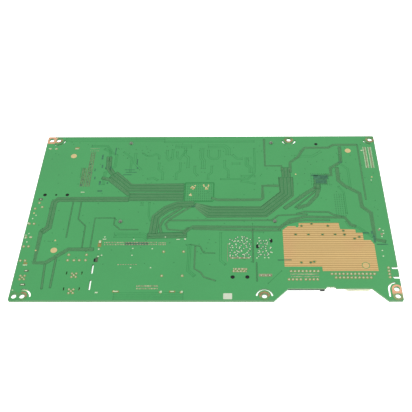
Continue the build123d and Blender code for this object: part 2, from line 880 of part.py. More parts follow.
with BuildPart() as heat_sink:
    with BuildSketch(Plane.XY.offset(sink_top)):
        with Locations((processor_x, sink_y)):
            RectangleRounded(sink_width, sink_depth, sink_corner)
        with Locations(*push_pin_places):
            Circle(push_pin_hole, mode=Mode.SUBTRACT)
    extrude(amount=-sink_base)
    with BuildSketch(Plane.XY.offset(sink_bottom)):
        with Locations((processor_x, sink_y)):
            with GridLocations(0, fin_pitch, 1, fin_count):
                Rectangle(fin_length, fin_thickness)
    extrude(amount=-sink_bottom)
write(heat_sink, "heat_sink")

pin_head_top = sink_bottom - spring_height
with BuildPart() as push_pins:
    with BuildSketch(Plane.XY.offset(pin_head_top)):
        with Locations(*push_pin_places):
            Circle(push_pin_head_radius)
    extrude(amount=-push_pin_head)
    with BuildSketch(Plane.XY.offset(pin_head_top)):
        with Locations(*push_pin_places):
            Circle(push_pin_radius)
    extrude(amount=board_top - pin_head_top)
    with BuildSketch(solder_side):
        with Locations(*push_pin_places):
            Circle(push_pin_tip_radius)
    extrude(amount=push_pin_tip, taper=25)
write(push_pins, "push_pins")

spring_bore = push_pin_radius + peg_fit
with BuildPart() as pin_springs:
    with BuildSketch(Plane.XY.offset(sink_bottom)):
        with Locations(*push_pin_places):
            Circle(spring_bore + spring_wall)
        with Locations(*push_pin_places):
            Circle(spring_bore, mode=Mode.SUBTRACT)
    extrude(amount=-spring_height)
write(pin_springs, "pin_springs")

# ---------------------------------------------------------------- second processor

panel_place = (panel_chip_x, panel_chip_y)
panel_processor = hang([panel_place], panel_chip_size, panel_chip_size, panel_chip_height, chip_corner)
write(panel_processor, "panel_processor")

lead_middle = panel_chip_size / 2 + lead_reach / 2
with BuildPart() as panel_processor_leads:
    with BuildSketch(part_side):
        with Locations((panel_chip_x, panel_chip_y)):
            for turn in range(4):
                with Locations(Location((0, 0, 0), (0, 0, 90 * turn))):
                    with Locations((lead_middle, 0)):
                        with GridLocations(0, lead_pitch, 1, lead_count):
                            Rectangle(lead_reach, lead_width)
    extrude(amount=-panel_chip_height / 2)
write(panel_processor_leads, "panel_processor_leads")

# ---------------------------------------------------------------- headers in the notch

power_lug_x = power_x + (power_width - power_lug_width) / 2 + power_lug_overhang
with BuildPart() as power_header:
    with BuildSketch(part_side):
        with Locations((power_x, power_front + power_depth / 2)):
            Rectangle(power_width, power_depth)
    extrude(amount=-power_height)
    with BuildSketch(part_side):
        with Locations((power_lug_x, power_front)):
            Rectangle(power_lug_width, 2 * power_lug_reach)
    extrude(amount=-power_lug_height)
    with BuildSketch(Plane.XZ.offset(-power_front)):
        with Locations((power_x, board_bottom - power_height / 2)):
            Rectangle(power_mouth_width, power_height - 2 * header_wall)
    extrude(amount=-power_mouth_depth, mode=Mode.SUBTRACT)
    with BuildSketch(part_side):
        with Locations(*power_pins):
            Circle(pin_radius + pin_fit)
    extrude(amount=-header_wall, mode=Mode.SUBTRACT)
write(power_header, "power_header")
power_header_pins = pins(power_pins, pin_radius, board_top, board_bottom - header_wall)
write(power_header_pins, "power_header_pins")

mouth_x = signal_x + signal_mouth_offset
mouth_front = signal_front - signal_mouth_reach
mouth_height = signal_height - signal_mouth_step
with BuildPart() as signal_header:
    with BuildSketch(part_side):
        with Locations((signal_x, signal_front + signal_depth / 2)):
            Rectangle(signal_width, signal_depth)
    extrude(amount=-signal_height)
    with BuildSketch(part_side):
        with Locations((mouth_x, signal_front - signal_mouth_reach / 2)):
            Rectangle(signal_mouth_width, signal_mouth_reach)
    extrude(amount=-mouth_height)
    with BuildSketch(Plane.XZ.offset(-mouth_front)):
        with Locations((mouth_x, board_bottom - mouth_height / 2)):
            Rectangle(signal_mouth_width - 2 * header_wall, mouth_height - 2 * signal_mouth_wall)
    extrude(amount=-signal_mouth_depth, mode=Mode.SUBTRACT)
    with BuildSketch(part_side):
        with Locations(*signal_pins):
            Circle(pin_radius + pin_fit)
    extrude(amount=-header_wall, mode=Mode.SUBTRACT)
write(signal_header, "signal_header")
signal_header_pins = pins(signal_pins, pin_radius, board_top, board_bottom - header_wall)
write(signal_header_pins, "signal_header_pins")

with BuildPart() as side_header:
    side_length = side_header_pins * header_pitch + 2 * header_wall
    with BuildSketch(part_side):
        with Locations((side_header_x, side_header_y)):
            Rectangle(side_header_width, side_length)
    extrude(amount=-side_header_height)
    with BuildSketch(Plane.XY.offset(board_bottom - side_header_height)):
        with Locations((side_header_x, side_header_y)):
            Rectangle(side_header_width - 2 * side_header_wall, side_length - 2 * side_header_wall)
    extrude(amount=side_header_height - header_wall - side_header_wall, mode=Mode.SUBTRACT)
    with BuildSketch(part_side):
        with Locations(*side_pins):
            Circle(pin_radius + pin_fit)
    extrude(amount=-side_header_height, mode=Mode.SUBTRACT)
write(side_header, "side_header")
contact_tips = board_bottom - side_header_height + side_header_wall
side_header_contacts = pins(side_pins, pin_radius, board_top, contact_tips)
write(side_header_contacts, "side_header_contacts")

# ---------------------------------------------------------------- display and service connectors

with BuildPart() as display_connector:
    with BuildSketch(part_side):
        with Locations((display_x, display_y)):
            Rectangle(display_width, display_length)
    extrude(amount=-display_height)
    with BuildSketch(Plane.YZ.offset(display_x + display_width / 2)):
        with Locations((display_y, board_bottom - display_height / 2)):
            Rectangle(display_length - 2 * display_slot_margin, display_slot_height)
    extrude(amount=-display_width * display_slot_share, mode=Mode.SUBTRACT)
write(display_connector, "display_connector")
lead_x = display_x - (display_width + lead_reach) / 2
lead_places = column(display_leads, display_lead_pitch, lead_x, display_y)
display_connector_leads = hang(lead_places, lead_reach, display_lead_width, display_lead_width)
write(display_connector_leads, "display_connector_leads")

with BuildPart() as panel_connector:
    with BuildSketch(part_side):
        with Locations((panel_connector_x, panel_connector_y)):
            Rectangle(panel_connector_width, panel_connector_length)
    extrude(amount=-panel_connector_height)
    with BuildSketch(Plane.XY.offset(board_bottom - panel_connector_height)):
        with Locations((panel_connector_x, panel_connector_y)):
            with GridLocations(panel_groove_span, 0, 2, 1):
                Rectangle(panel_groove_width, panel_connector_length - 2 * panel_groove_width)
    extrude(amount=panel_connector_height - panel_floor, mode=Mode.SUBTRACT)
write(panel_connector, "panel_connector")

tongue_inset = service_wall + service_groove
with BuildPart() as service_connector:
    with BuildSketch(part_side):
        with Locations((service_x, service_y)):
            Rectangle(service_width, service_length)
    extrude(amount=-service_height)
    with BuildSketch(Plane.XY.offset(board_bottom - service_height)):
        with Locations((service_x, service_y)):
            Rectangle(service_width - 2 * service_wall, service_length - 2 * service_wall)
            Rectangle(service_width - 2 * tongue_inset, service_length - 2 * tongue_inset, mode=Mode.SUBTRACT)
    extrude(amount=service_height - service_floor, mode=Mode.SUBTRACT)
write(service_connector, "service_connector")

# ---------------------------------------------------------------- receiver can and its connector

receiver_can = folded_can(receiver_x, receiver_y, receiver_width, receiver_length, receiver_height)
write(receiver_can, "receiver_can")

with BuildPart() as receiver_connector:
    with BuildSketch(part_side):
        with Locations((receiver_x, receiver_plug_y)):
            Rectangle(receiver_plug_width, receiver_plug_depth)
    extrude(amount=-receiver_plug_height)
    with BuildSketch(part_side):
        with Locations(*receiver_pegs):
            Circle(receiver_peg_radius)
        with Locations((receiver_x, receiver_plug_y)):
            Circle(receiver_key_radius)
    extrude(amount=board_thickness - seat_gap)
write(receiver_connector, "receiver_connector")

# ---------------------------------------------------------------- card slot

with BuildPart() as card_header:
    with BuildSketch(part_side):
        with Locations((card_x, card_header_y)):
            Rectangle(card_width + 2 * card_guide, card_header_depth)
    extrude(amount=-card_height)
write(card_header, "card_header")

card_pin_levels = (board_bottom - card_height * 0.4, board_bottom - card_height * 0.7)
with BuildPart() as card_contacts:
    with BuildSketch(Plane.XZ.offset(-card_back)):
        for level in card_pin_levels:
            with Locations(*row(card_pins, card_pitch, card_x, level)):
                Rectangle(card_pin_size, card_pin_size)
    extrude(amount=card_pin_reach)
write(card_contacts, "card_contacts")

with BuildPart() as card_guides:
    with BuildSketch(part_side):
        with Locations((card_x, card_front + card_guide_length / 2)):
            with GridLocations(card_width + card_guide, 0, 2, 1):
                Rectangle(card_guide, card_guide_length)
        with Locations(card_lug):
            Rectangle(card_lug_width, card_lug_length)
    extrude(amount=-card_height)
    with BuildSketch(part_side):
        with Locations(card_lug):
            SlotOverall(card_lug_length, card_lug_width, rotation=90)
    extrude(amount=board_thickness - seat_gap)
write(card_guides, "card_guides")

with BuildPart() as card_cover:
    with BuildSketch(Plane.XY.offset(board_bottom - card_height)):
        with Locations((card_x, card_front + card_guide_length / 2)):
            Rectangle(card_width + 2 * card_guide, card_guide_length)
            with GridLocations(card_width / 3, card_guide_length / 2, 3, 2):
                SlotOverall(card_vent_length, card_vent_width, mode=Mode.SUBTRACT)
    extrude(amount=-sheet)
write(card_cover, "card_cover")

screening_can = folded_can(screen_x, screen_y, screen_width, screen_length, screen_height)
write(screening_can, "screening_can")

# ---------------------------------------------------------------- network jack

jack_mouth_z = board_bottom - jack_height / 2 - jack_mouth_drop
inner_width = jack_width - 2 * (sheet + sheet_fit)
inner_length = jack_length - sheet - sheet_fit
with BuildPart() as network_housing:
    with BuildSketch(part_side):
        with Locations((jack_x, jack_front + inner_length / 2)):
            Rectangle(inner_width, inner_length)
    extrude(amount=-(jack_height - sheet - sheet_fit))
    with BuildSketch(Plane.XZ.offset(-jack_front)):
        with Locations((jack_x, jack_mouth_z)):
            Rectangle(jack_mouth_width, jack_mouth_height)
    extrude(amount=-jack_mouth_depth, mode=Mode.SUBTRACT)
    with BuildSketch(part_side):
        with Locations(*jack_pegs):
            Circle(jack_peg_radius)
    extrude(amount=board_thickness - seat_gap)
    with BuildSketch(part_side):
        with Locations(*jack_pin_places):
            Circle(pin_radius + pin_fit)
    extrude(amount=-header_wall, mode=Mode.SUBTRACT)
write(network_housing, "network_housing")

with BuildPart() as network_shield:
    with BuildSketch(part_side):
        with Locations((jack_x, jack_front + jack_length / 2)):
            Rectangle(jack_width, jack_length)
    extrude(amount=-jack_height)
    with BuildSketch(part_side):
        with Locations((jack_x, jack_front + (jack_length - sheet) / 2)):
            Rectangle(jack_width - 2 * sheet, jack_length - sheet)
    extrude(amount=-(jack_height - sheet), mode=Mode.SUBTRACT)
write(network_shield, "network_shield")

jack_contact_level = jack_mouth_z + jack_mouth_height / 2
with BuildPart() as network_contacts:
    with BuildSketch(Plane.XY.offset(jack_contact_level)):
        with Locations((jack_x, jack_front + jack_mouth_depth - jack_contact_length / 2)):
            with GridLocations(jack_contact_pitch, 0, jack_pins, 1):
                Rectangle(jack_contact, jack_contact_length)
    extrude(amount=-jack_contact)
write(network_contacts, "network_contacts")

network_pins = pins(jack_pin_places, pin_radius, board_top, board_bottom - header_wall)
write(network_pins, "network_pins")

# ---------------------------------------------------------------- sockets at the left edge

media_centre_z = board_bottom - media_height / 2
with BuildPart() as media_shells:
    with BuildSketch(Plane.YZ.offset(socket_front)):
        with Locations(*[(y, media_centre_z) for y in media_y]):
            Rectangle(media_width, media_height)
        with Locations(*[(y, media_centre_z) for y in media_y]):
            Rectangle(media_width - 2 * sheet, media_height - 2 * sheet, mode=Mode.SUBTRACT)
    extrude(amount=media_depth)
write(media_shells, "media_shells")

with BuildPart() as media_tongues:
    with BuildSketch(Plane.YZ.offset(socket_front + media_depth)):
        with Locations(*[(y, media_centre_z) for y in media_y]):
            Rectangle(media_width - 2 * sheet, media_height - 2 * sheet)
    extrude(amount=-media_back)
    with BuildSketch(Plane.YZ.offset(socket_front + media_depth)):
        with Locations(*[(y, media_centre_z) for y in media_y]):
            Rectangle(media_tongue_width, media_tongue_height)
    extrude(amount=-(media_depth - media_tongue_setback))
write(media_tongues, "media_tongues")

socket_pins = pins(media_legs + audio_pins + coax_pins, pin_radius, board_top, board_bottom)
write(socket_pins, "socket_pins")

with BuildPart() as audio_jack:
    with BuildSketch(part_side):
        with Locations((socket_front + audio_depth / 2, audio_y)):
            Rectangle(audio_depth, audio_width)
    extrude(amount=-audio_height)
    with BuildSketch(Plane.YZ.offset(socket_front)):
        with Locations((audio_y, board_bottom - audio_height / 2)):
            Circle(audio_bore)
    extrude(amount=audio_depth - audio_back, mode=Mode.SUBTRACT)
write(audio_jack, "audio_jack")

with BuildPart() as side_coax_socket:
    with BuildSketch(part_side):
        with Locations((coax_body + coax_depth / 2, coax_y)):
            Rectangle(coax_depth, coax_width)
    extrude(amount=-coax_height)
    with BuildSketch(Plane.YZ.offset(socket_front)):
        with Locations((coax_y, board_bottom - coax_height / 2)):
            Circle(coax_barrel)
    extrude(amount=coax_collar)
    with BuildSketch(Plane.YZ.offset(socket_front)):
        with Locations((coax_y, board_bottom - coax_height / 2)):
            Circle(coax_bore)
            Circle(coax_contact, mode=Mode.SUBTRACT)
    extrude(amount=coax_depth, mode=Mode.SUBTRACT)
    with BuildSketch(part_side):
        with Locations(*around(coax_x, coax_y, spread)):
            Circle(pin_radius + pin_fit)
    extrude(amount=-coax_pin_pocket, mode=Mode.SUBTRACT)
write(side_coax_socket, "side_coax_socket")

with BuildPart() as upright_coax_sockets:
    with BuildSketch(part_side):
        with Locations(*upright_coax):
            Rectangle(upright_coax_width, upright_coax_depth)
    extrude(amount=-upright_coax_base)
    with BuildSketch(part_side):
        with Locations(*upright_coax):
            Circle(coax_barrel)
    extrude(amount=-upright_coax_height)
    with BuildSketch(Plane.XY.offset(board_bottom - upright_coax_height)):
        with Locations(*upright_coax):
            Circle(coax_bore)
        with Locations(*upright_coax):
            Circle(coax_contact, mode=Mode.SUBTRACT)
    extrude(amount=upright_coax_height - upright_coax_base, mode=Mode.SUBTRACT)
write(upright_coax_sockets, "upright_coax_sockets")

# ---------------------------------------------------------------- choke and filter block

with BuildPart() as choke_core:
    with BuildSketch(part_side):
        with Locations((choke_x, choke_y)):
            Rectangle(choke_width, choke_depth)
    extrude(amount=-choke_base)
    drum_z = board_bottom - choke_base - choke_drum_radius
    with BuildSketch(Plane.YZ.offset(choke_x - choke_drum_length / 2)):
        with Locations((choke_y, drum_z)):
            Circle(choke_core_radius)
    extrude(amount=choke_drum_length)
    for start in (choke_x - choke_drum_length / 2, choke_x + choke_drum_length / 2 - choke_flange):
        with BuildSketch(Plane.YZ.offset(start)):
            with Locations((choke_y, drum_z)):
                Circle(choke_drum_radius)
            with Locations((choke_y, drum_z + choke_drum_radius / 2)):
                Rectangle(2 * choke_drum_radius, choke_drum_radius)
        extrude(amount=choke_flange)
    with BuildSketch(part_side):
        with Locations(*choke_pins):
            Circle(pin_radius + pin_fit)
    extrude(amount=-choke_base, mode=Mode.SUBTRACT)
write(choke_core, "choke_core")

with BuildPart() as choke_winding:
    with BuildSketch(Plane.YZ.offset(choke_x - choke_drum_length / 2 + choke_flange)):
        with Locations((choke_y, drum_z)):
            Circle(choke_drum_radius - winding_gap)
        with Locations((choke_y, drum_z)):
            Circle(choke_core_radius, mode=Mode.SUBTRACT)
    extrude(amount=choke_drum_length - 2 * choke_flange)
write(choke_winding, "choke_winding")
choke_legs = pins(choke_pins, pin_radius, board_top, board_bottom - choke_base)
write(choke_legs, "choke_legs")

with BuildPart() as filter_block:
    with BuildSketch(part_side):
        with Locations((filter_x, filter_y)):
            RectangleRounded(filter_width, filter_depth, chip_corner)
    extrude(amount=-filter_height)
    with BuildSketch(part_side):
        with Locations(*filter_legs):
            SlotOverall(filter_leg_length, filter_leg_width, rotation=90)
    extrude(amount=board_thickness - seat_gap)
write(filter_block, "filter_block")

# ---------------------------------------------------------------- power parts under the copper field

phases = [field_left + phase_from_field + phase_pitch * i for i in range(phase_count)]
coil_places = [(x, field_front_y + 35.5) for x in phases]
coil_places += [(supply_x, front_edge + 55.5), (supply_x, front_edge + 42.5), (filter_x, front_edge + 40.0)]
switch_places = [(x, field_front_y + 24.5) for x in phases]
supply_can_x = (screen_x + screen_width / 2 + supply_x - coil_size / 2) / 2
can_places = row(phase_count, can_pitch, (phases[0] + phases[-1]) / 2 - coil_size / 2, field_front_y + 12.5)
can_places += [(left_edge + 28.0, front_edge + 60.0), (left_edge + 46.0, front_edge + 66.0)]
can_places += [(supply_can_x, front_edge + 50.0)]

with BuildPart() as power_coils:
    with BuildSketch(part_side):
        with Locations(*coil_places):
            RectangleRounded(coil_size, coil_size, coil_corner)
    extrude(amount=-coil_height)
    with BuildSketch(Plane.XY.offset(board_bottom - coil_height)):
        with Locations(*coil_places):
            Circle(coil_pot_radius)
        with Locations(*coil_places):
            Circle(coil_pot_radius - coil_pot_ring, mode=Mode.SUBTRACT)
    extrude(amount=coil_pot_groove, mode=Mode.SUBTRACT)
write(power_coils, "power_coils")

power_switches = hang(switch_places, switch_width, switch_depth, switch_height)
write(power_switches, "power_switches")

with BuildPart() as capacitor_bases:
    with BuildSketch(part_side):
        with Locations(*can_places):
            Rectangle(can_base, can_base)
    extrude(amount=-can_base_height)
write(capacitor_bases, "capacitor_bases")
with BuildPart() as can_capacitors:
    with BuildSketch(Plane.XY.offset(board_bottom - can_base_height)):
        with Locations(*can_places):
            Circle(can_radius)
    extrude(amount=-can_height)
write(can_capacitors, "can_capacitors")

amplifier_place = (field_right - 8.0, field_front_y + 32.5)
amplifier_chip = hang([amplifier_place], amplifier_size, amplifier_size, amplifier_height, chip_corner)
write(amplifier_chip, "amplifier_chip")

# ---------------------------------------------------------------- small parts

small_chip_places = (
    around(left_edge, front_edge, [(32, 78), (72, 76), (88, 76), (28, 28)])
    + around(0, front_edge, [(2, 34), (10, 64)])
    + around(right_edge, 0, [(-70, 54), (-38, 56), (-26, 30), (-70, 8), (-28, 0)])
)
small_chips = hang(small_chip_places, small_chip_width, small_chip_depth, small_chip_height)
write(small_chips, "small_chips")
crystal_places = [(18, 6), (right_edge - 70, 34), (left_edge + 54, 8)]
crystals = hang(crystal_places, crystal_width, crystal_depth, crystal_height, chip_corner)
write(crystals, "crystals")

ceramic_places = (
    row(9, 4.2, processor_x, processor_y - processor_size / 2 - 3)
    + row(9, 4.2, processor_x, processor_y + processor_size / 2 + 4)
    + [(x + side * 7, memory_y) for x, _ in memory_places for side in (-1, 1)]
    + row(6, 4.0, panel_chip_x, panel_chip_y - 12)
    + row(6, 4.0, panel_chip_x, panel_chip_y + 12)
    + row(7, 4.0, left_edge + 40, 2)
    + row(6, 4.0, left_edge + 78, front_edge + 68)
    + row(8, 4.0, 30, front_edge + 68)
    + row(10, 5.0, field_left + field_width / 2, field_front_y + 43.5)
)
ceramic_capacitors = hang(ceramic_places, ceramic_width, ceramic_length, ceramic_height)
write(ceramic_capacitors, "ceramic_capacitors")

resistor_places = (
    row(12, 2.6, left_edge + 54, 16)
    + row(12, 2.6, left_edge + 54, 20)
    + row(10, 2.6, 28, front_edge + 76)
    + row(10, 2.6, 28, front_edge + 80)
    + column(10, 2.4, left_edge + 54, 48)
    + column(10, 2.4, left_edge + 58, 48)
    + column(8, 2.4, right_edge - 18, 62)
    + row(8, 2.6, left_edge + 32, front_edge + 68)
    + row(4, 2.0, supply_can_x, front_edge + 26)
    + row(4, 2.0, supply_can_x, front_edge + 22)
)
chip_resistors = hang(resistor_places, resistor_width, resistor_length, resistor_height)
write(chip_resistors, "chip_resistors")
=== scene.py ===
"""Dresses a packed control board: mask, copper, solder, tracks and the parts under the board."""

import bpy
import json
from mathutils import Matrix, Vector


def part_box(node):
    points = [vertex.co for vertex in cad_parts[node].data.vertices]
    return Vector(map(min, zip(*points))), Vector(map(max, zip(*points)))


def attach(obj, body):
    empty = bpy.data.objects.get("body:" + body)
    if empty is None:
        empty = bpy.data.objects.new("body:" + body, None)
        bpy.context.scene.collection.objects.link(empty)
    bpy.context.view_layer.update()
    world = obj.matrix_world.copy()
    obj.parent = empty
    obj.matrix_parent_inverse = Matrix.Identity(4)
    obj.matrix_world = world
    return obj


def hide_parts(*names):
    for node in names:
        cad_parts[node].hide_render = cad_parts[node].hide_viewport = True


bl_info = {
    "name": "Control board dressing",
    "version": (1, 0, 0),
    "blender": (4, 5, 0),
    "location": "View3D > Sidebar > Board",
    "description": "Models the fine parts and the finishes of a printed control board",
    "category": "Object",
}

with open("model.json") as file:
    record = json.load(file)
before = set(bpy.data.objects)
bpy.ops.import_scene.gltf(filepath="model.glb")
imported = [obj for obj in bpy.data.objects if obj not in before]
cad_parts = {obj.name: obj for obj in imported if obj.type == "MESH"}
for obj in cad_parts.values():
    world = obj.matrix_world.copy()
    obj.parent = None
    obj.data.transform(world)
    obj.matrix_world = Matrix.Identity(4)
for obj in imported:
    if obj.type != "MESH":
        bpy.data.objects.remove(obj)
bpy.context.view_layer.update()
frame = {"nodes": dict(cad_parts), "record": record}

import json
import math
import random

import bmesh
import bpy
from mathutils import Euler, Matrix, Vector

MM = 0.001
BODY = "root"
# Corners of a mesh that lie closer than this, in metres, are one
WELD = 1e-6

BOARD_LOW, BOARD_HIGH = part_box("circuit_board")
BOARD_TOP, BOARD_UNDER = BOARD_HIGH.z, BOARD_LOW.z
LEFT, RIGHT, BACK = BOARD_LOW.x, BOARD_HIGH.x, BOARD_HIGH.y


# ---------------------------------------------------------------- properties


def srgb(red, green, blue):
    """A colour given in display steps of 0 to 255, as linear values."""
    steps = [channel / 255 for channel in (red, green, blue)]
    return tuple(s / 12.92 if s <= 0.04045 else ((s + 0.055) / 1.055) ** 2.4 for s in steps)


def size(name, text, value):
    """A length property whose default is given in millimetres."""
    return bpy.props.FloatProperty(
        name=name, description=text, default=value * MM, min=0, unit="LENGTH", precision=5
    )


def angle(name, text, value):
    """An angle property whose default is given in degrees."""
    return bpy.props.FloatProperty(name=name, description=text, default=math.radians(value), subtype="ANGLE")


def colour(name, text, value):
    """A colour property whose default is given in display steps."""
    return bpy.props.FloatVectorProperty(
        name=name, description=text, default=srgb(*value), size=3, min=0, max=1, subtype="COLOR"
    )


class BoardColours(bpy.types.PropertyGroup):
    """Colours of the board and of the metals on it"""

    mask: colour("Mask", "Green mask over copper", (56, 141, 78))
    mask_gap: colour("Mask gap", "Mask over bare laminate, seen as darker lines", (48, 110, 64))
    # The track colour also paints the greyer rim of shade along the edges of the mask's top
    track: colour("Track", "Mask over a fine track", (88, 134, 92))
    faint: colour("Faint track", "Mask over a track that hardly shows", (47, 124, 68))
    laminate: colour("Laminate", "Cut edge of the board", (72, 126, 72))
    copper: colour("Copper", "Bare copper of the heat field", (196, 166, 110))
    copper_groove: colour("Copper groove", "Grooves between the bars of the heat field", (150, 118, 66))
    land: colour("Land", "Tarnished lands round the screw holes", (138, 118, 84))
    red_land: colour("Red land", "Bare lands that keep their copper red", (208, 156, 122))
    gold: colour("Gold", "Gold finish of the test lands", (204, 184, 132))
    solder: colour("Solder", "Bright solder", (190, 206, 172))
    pad_ring: colour("Pad ring", "Flux-stained edge of a pad", (134, 120, 64))
    dense: colour("Dense", "Mask over tracks and holes that lie close", (54, 104, 76))
    # Painted shade: the brown round the holes of the copper field
    field_hole_shade: colour("Field ring", "Stain round the holes of the copper field", (146, 132, 74))


class PartColours(bpy.types.PropertyGroup):
    """Colours of the parts under the board"""

    black_plastic: colour("Black plastic", "Moulded housings", (24, 24, 26))
    cream_plastic: colour("Cream plastic", "Moulded header housings", (247, 244, 230))
    chip: colour("Chip", "Moulded chip packages", (34, 34, 36))
    aluminium: colour("Aluminium", "Heat sink and capacitor cans", (196, 198, 200))
    sheet: colour("Sheet", "Tinned screening sheet", (190, 192, 190))
    ferrite: colour("Ferrite", "Pressed cores", (58, 58, 62))
    ceramic: colour("Ceramic", "Ceramic capacitors", (172, 146, 108))
    wire: colour("Wire", "Enamelled copper wire", (184, 104, 54))
    nylon: colour("Nylon", "Push pins", (128, 138, 122))


class TrackSizes(bpy.types.PropertyGroup):
    """Sizes of the fine tracks"""

    width: size("Width", "Width of one fine track", 0.36)
    pitch: size("Pitch", "From one track to the next in a group", 0.62)
    height: size("Height", "How far a track stands above the board", 0.05)
    bed: size("Bed", "How far the ground under a group stands above the board", 0.02)
    via: size("Via", "Radius of a small plated hole", 0.36)


class JointSizes(bpy.types.PropertyGroup):
    """Sizes of pads, joints and pins on the solder side"""

    pad: size("Pad", "Radius of the land round a header's pin", 0.88)
    socket_pad: size("Socket pad", "Radius of the land round a socket's pin", 0.85)
    small_pad: size("Small pad", "Radius of the land of a close set of pins", 0.75)
    pin: size("Pin", "Radius of the pin that shows in a joint", 0.32)
    joint: size("Joint", "Height of the solder cone", 0.8)
    test_land: size("Test land", "Radius of a small bare land", 0.6)


class StageSettings(bpy.types.PropertyGroup):
    """Camera, lights and floor"""

    camera: bpy.props.FloatVectorProperty(
        name="Camera",
        description="Place of the camera",
        default=(0.0240, -0.3810, 0.4597),
        size=3,
        subtype="XYZ",
    )
    yaw: angle("Yaw", "Turn of the camera to the right", -1.01)
    pitch: angle("Pitch", "How far the camera looks down", 49.03)
    roll: angle("Roll", "Turn of the camera about its view", -0.89)
    field: angle("Field of view", "Angle that the picture takes in", 32.91)
    shift: bpy.props.FloatProperty(
        name="Shift",
        description="How far the picture is framed to the left of the lens axis",
        default=-0.0549,
    )
    sky: bpy.props.FloatProperty(name="Sky", description="Strength of the even light", default=0.9, min=0)
    lamp: bpy.props.FloatProperty(name="Lamp", description="Power of the soft lamps", default=9.0, min=0)


# ---------------------------------------------------------------- modelling helpers


def to_object_mode():
    """Leave edit mode if a piece is being edited, and select nothing."""
    if bpy.context.object and bpy.context.object.mode != "OBJECT":
        bpy.ops.object.mode_set(mode="OBJECT")
    bpy.ops.object.select_all(action="DESELECT")


def pick(*pieces):
    """Select these pieces only and make the first one active."""
    to_object_mode()
    for piece in pieces:
        piece.select_set(True)
    bpy.context.view_layer.objects.active = pieces[0]


def edit(piece):
    """Open a piece for editing with all of it selected."""
    pick(piece)
    bpy.ops.object.mode_set(mode="EDIT")
    bpy.ops.mesh.select_all(action="SELECT")


def face_outwards():
    """Turn every face of the piece that is being edited outwards and leave edit mode."""
    bpy.ops.mesh.select_all(action="SELECT")
    bpy.ops.mesh.normals_make_consistent(inside=False)
    to_object_mode()


def place_in_mesh(piece):
    """Put the place, turn and size of a piece into its mesh."""
    pick(piece)
    bpy.ops.object.transform_apply(location=True, rotation=True, scale=True)


def smooth(piece, degrees=35):
    """Shade a piece smooth where its faces meet at less than an angle."""
    pick(piece)
    bpy.ops.object.shade_smooth_by_angle(angle=math.radians(degrees))


def in_scene(name, data):
    """A new object of the scene from a mesh, a curve, a lamp or a camera."""
    piece = bpy.data.objects.new(name, data)
    bpy.context.scene.collection.objects.link(piece)
    return piece


def block(low, high, bevel, segments=2):
    """A rectangular block between two corners with rounded edges."""
    to_object_mode()
    bpy.ops.mesh.primitive_cube_add(size=1, location=(low + high) / 2, scale=high - low)
    piece = bpy.context.object
    place_in_mesh(piece)
    edit(piece)
    bpy.ops.mesh.bevel(offset=bevel, segments=segments, affect="EDGES")
    face_outwards()
    return piece


def blocks(boxes, bevel, segments=1):
    """Rounded blocks as one piece. Each size is modelled once and copied."""
    widest = 0.3
    groups = {}
    for low, high in boxes:
        low, high = Vector(low), Vector(high)
        key = tuple(round(value, 6) for value in high - low)
        groups.setdefault(key, []).append((low + high) / 2)
    made = []
    for reach, places in groups.items():
        half = Vector(reach) / 2
        made.append(copied(block(-half, half, min(bevel, min(reach) * widest), segments), places))
    return joined(made)


def turned(steps, sides, wide=MM, high=MM):
    """A round shape drawn up from a disc through steps of radius and height, in parts of wide and high."""
    steps = [(radius * wide, level * high) for radius, level in steps]
    to_object_mode()
    radius, level = steps[0]
    bpy.ops.mesh.primitive_circle_add(vertices=sides, radius=radius, fill_type="NGON")
    piece = bpy.context.object
    edit(piece)
    bpy.ops.transform.translate(value=(0, 0, level))
    for next_radius, next_level in steps[1:]:
        bpy.ops.mesh.extrude_region_move(TRANSFORM_OT_translate={"value": (0, 0, next_level - level)})
        share = next_radius / radius
        bpy.ops.transform.resize(value=(share, share, 1), center_override=(0, 0, next_level))
        radius, level = next_radius, next_level
    face_outwards()
    return piece


def cut_off(piece, x, side):
    """Cut a piece across X, keep what lies to one side and close the cut."""
    edit(piece)
    bpy.ops.mesh.bisect(plane_co=(x, 0, 0), plane_no=(side, 0, 0), use_fill=True, clear_inner=True)
    face_outwards()


def copied(master, places, turns=None):
    """Copies of a master at places, each with its own mesh, joined into one piece. The master goes."""
    copies = []
    for i, place in enumerate(places):
        one = in_scene(master.name, master.data.copy())
        one.location = place
        if turns:
            one.rotation_euler = Euler((0, 0, turns[i]))
        copies.append(one)
    bpy.data.objects.remove(master)
    return joined(copies)


def joined(pieces):
    """Several pieces as one, with its place in its mesh."""
    pick(*pieces)
    if len(pieces) > 1:
        bpy.ops.object.join()
    piece = bpy.context.object
    place_in_mesh(piece)
    return piece


def drawn(curve, places):
    """A line of a curve, straight from place to place."""
    line = curve.splines.new("POLY")
    line.points.add(len(places) - 1)
    for point, place in zip(line.points, places):
        point.co = (*place, 1)
    return line


def as_mesh(name, curve):
    """A curve with a thickness, made a mesh."""
    pick(in_scene(name, curve))
    bpy.ops.object.convert(target="MESH")
    return bpy.context.object


def spread(count, pitch):
    """Places of a row, one pitch apart, on both sides of its middle."""
    return [(i - (count - 1) / 2) * pitch for i in range(count)]


def in_metres(value):
    """A place or a list of lengths in millimetres, in metres."""
    return [number * MM for number in value]


def on_board(spots):
    """Spots in millimetres as places in metres, on top of the board."""
    return [Vector((*in_metres(spot), BOARD_TOP)) for spot in spots]


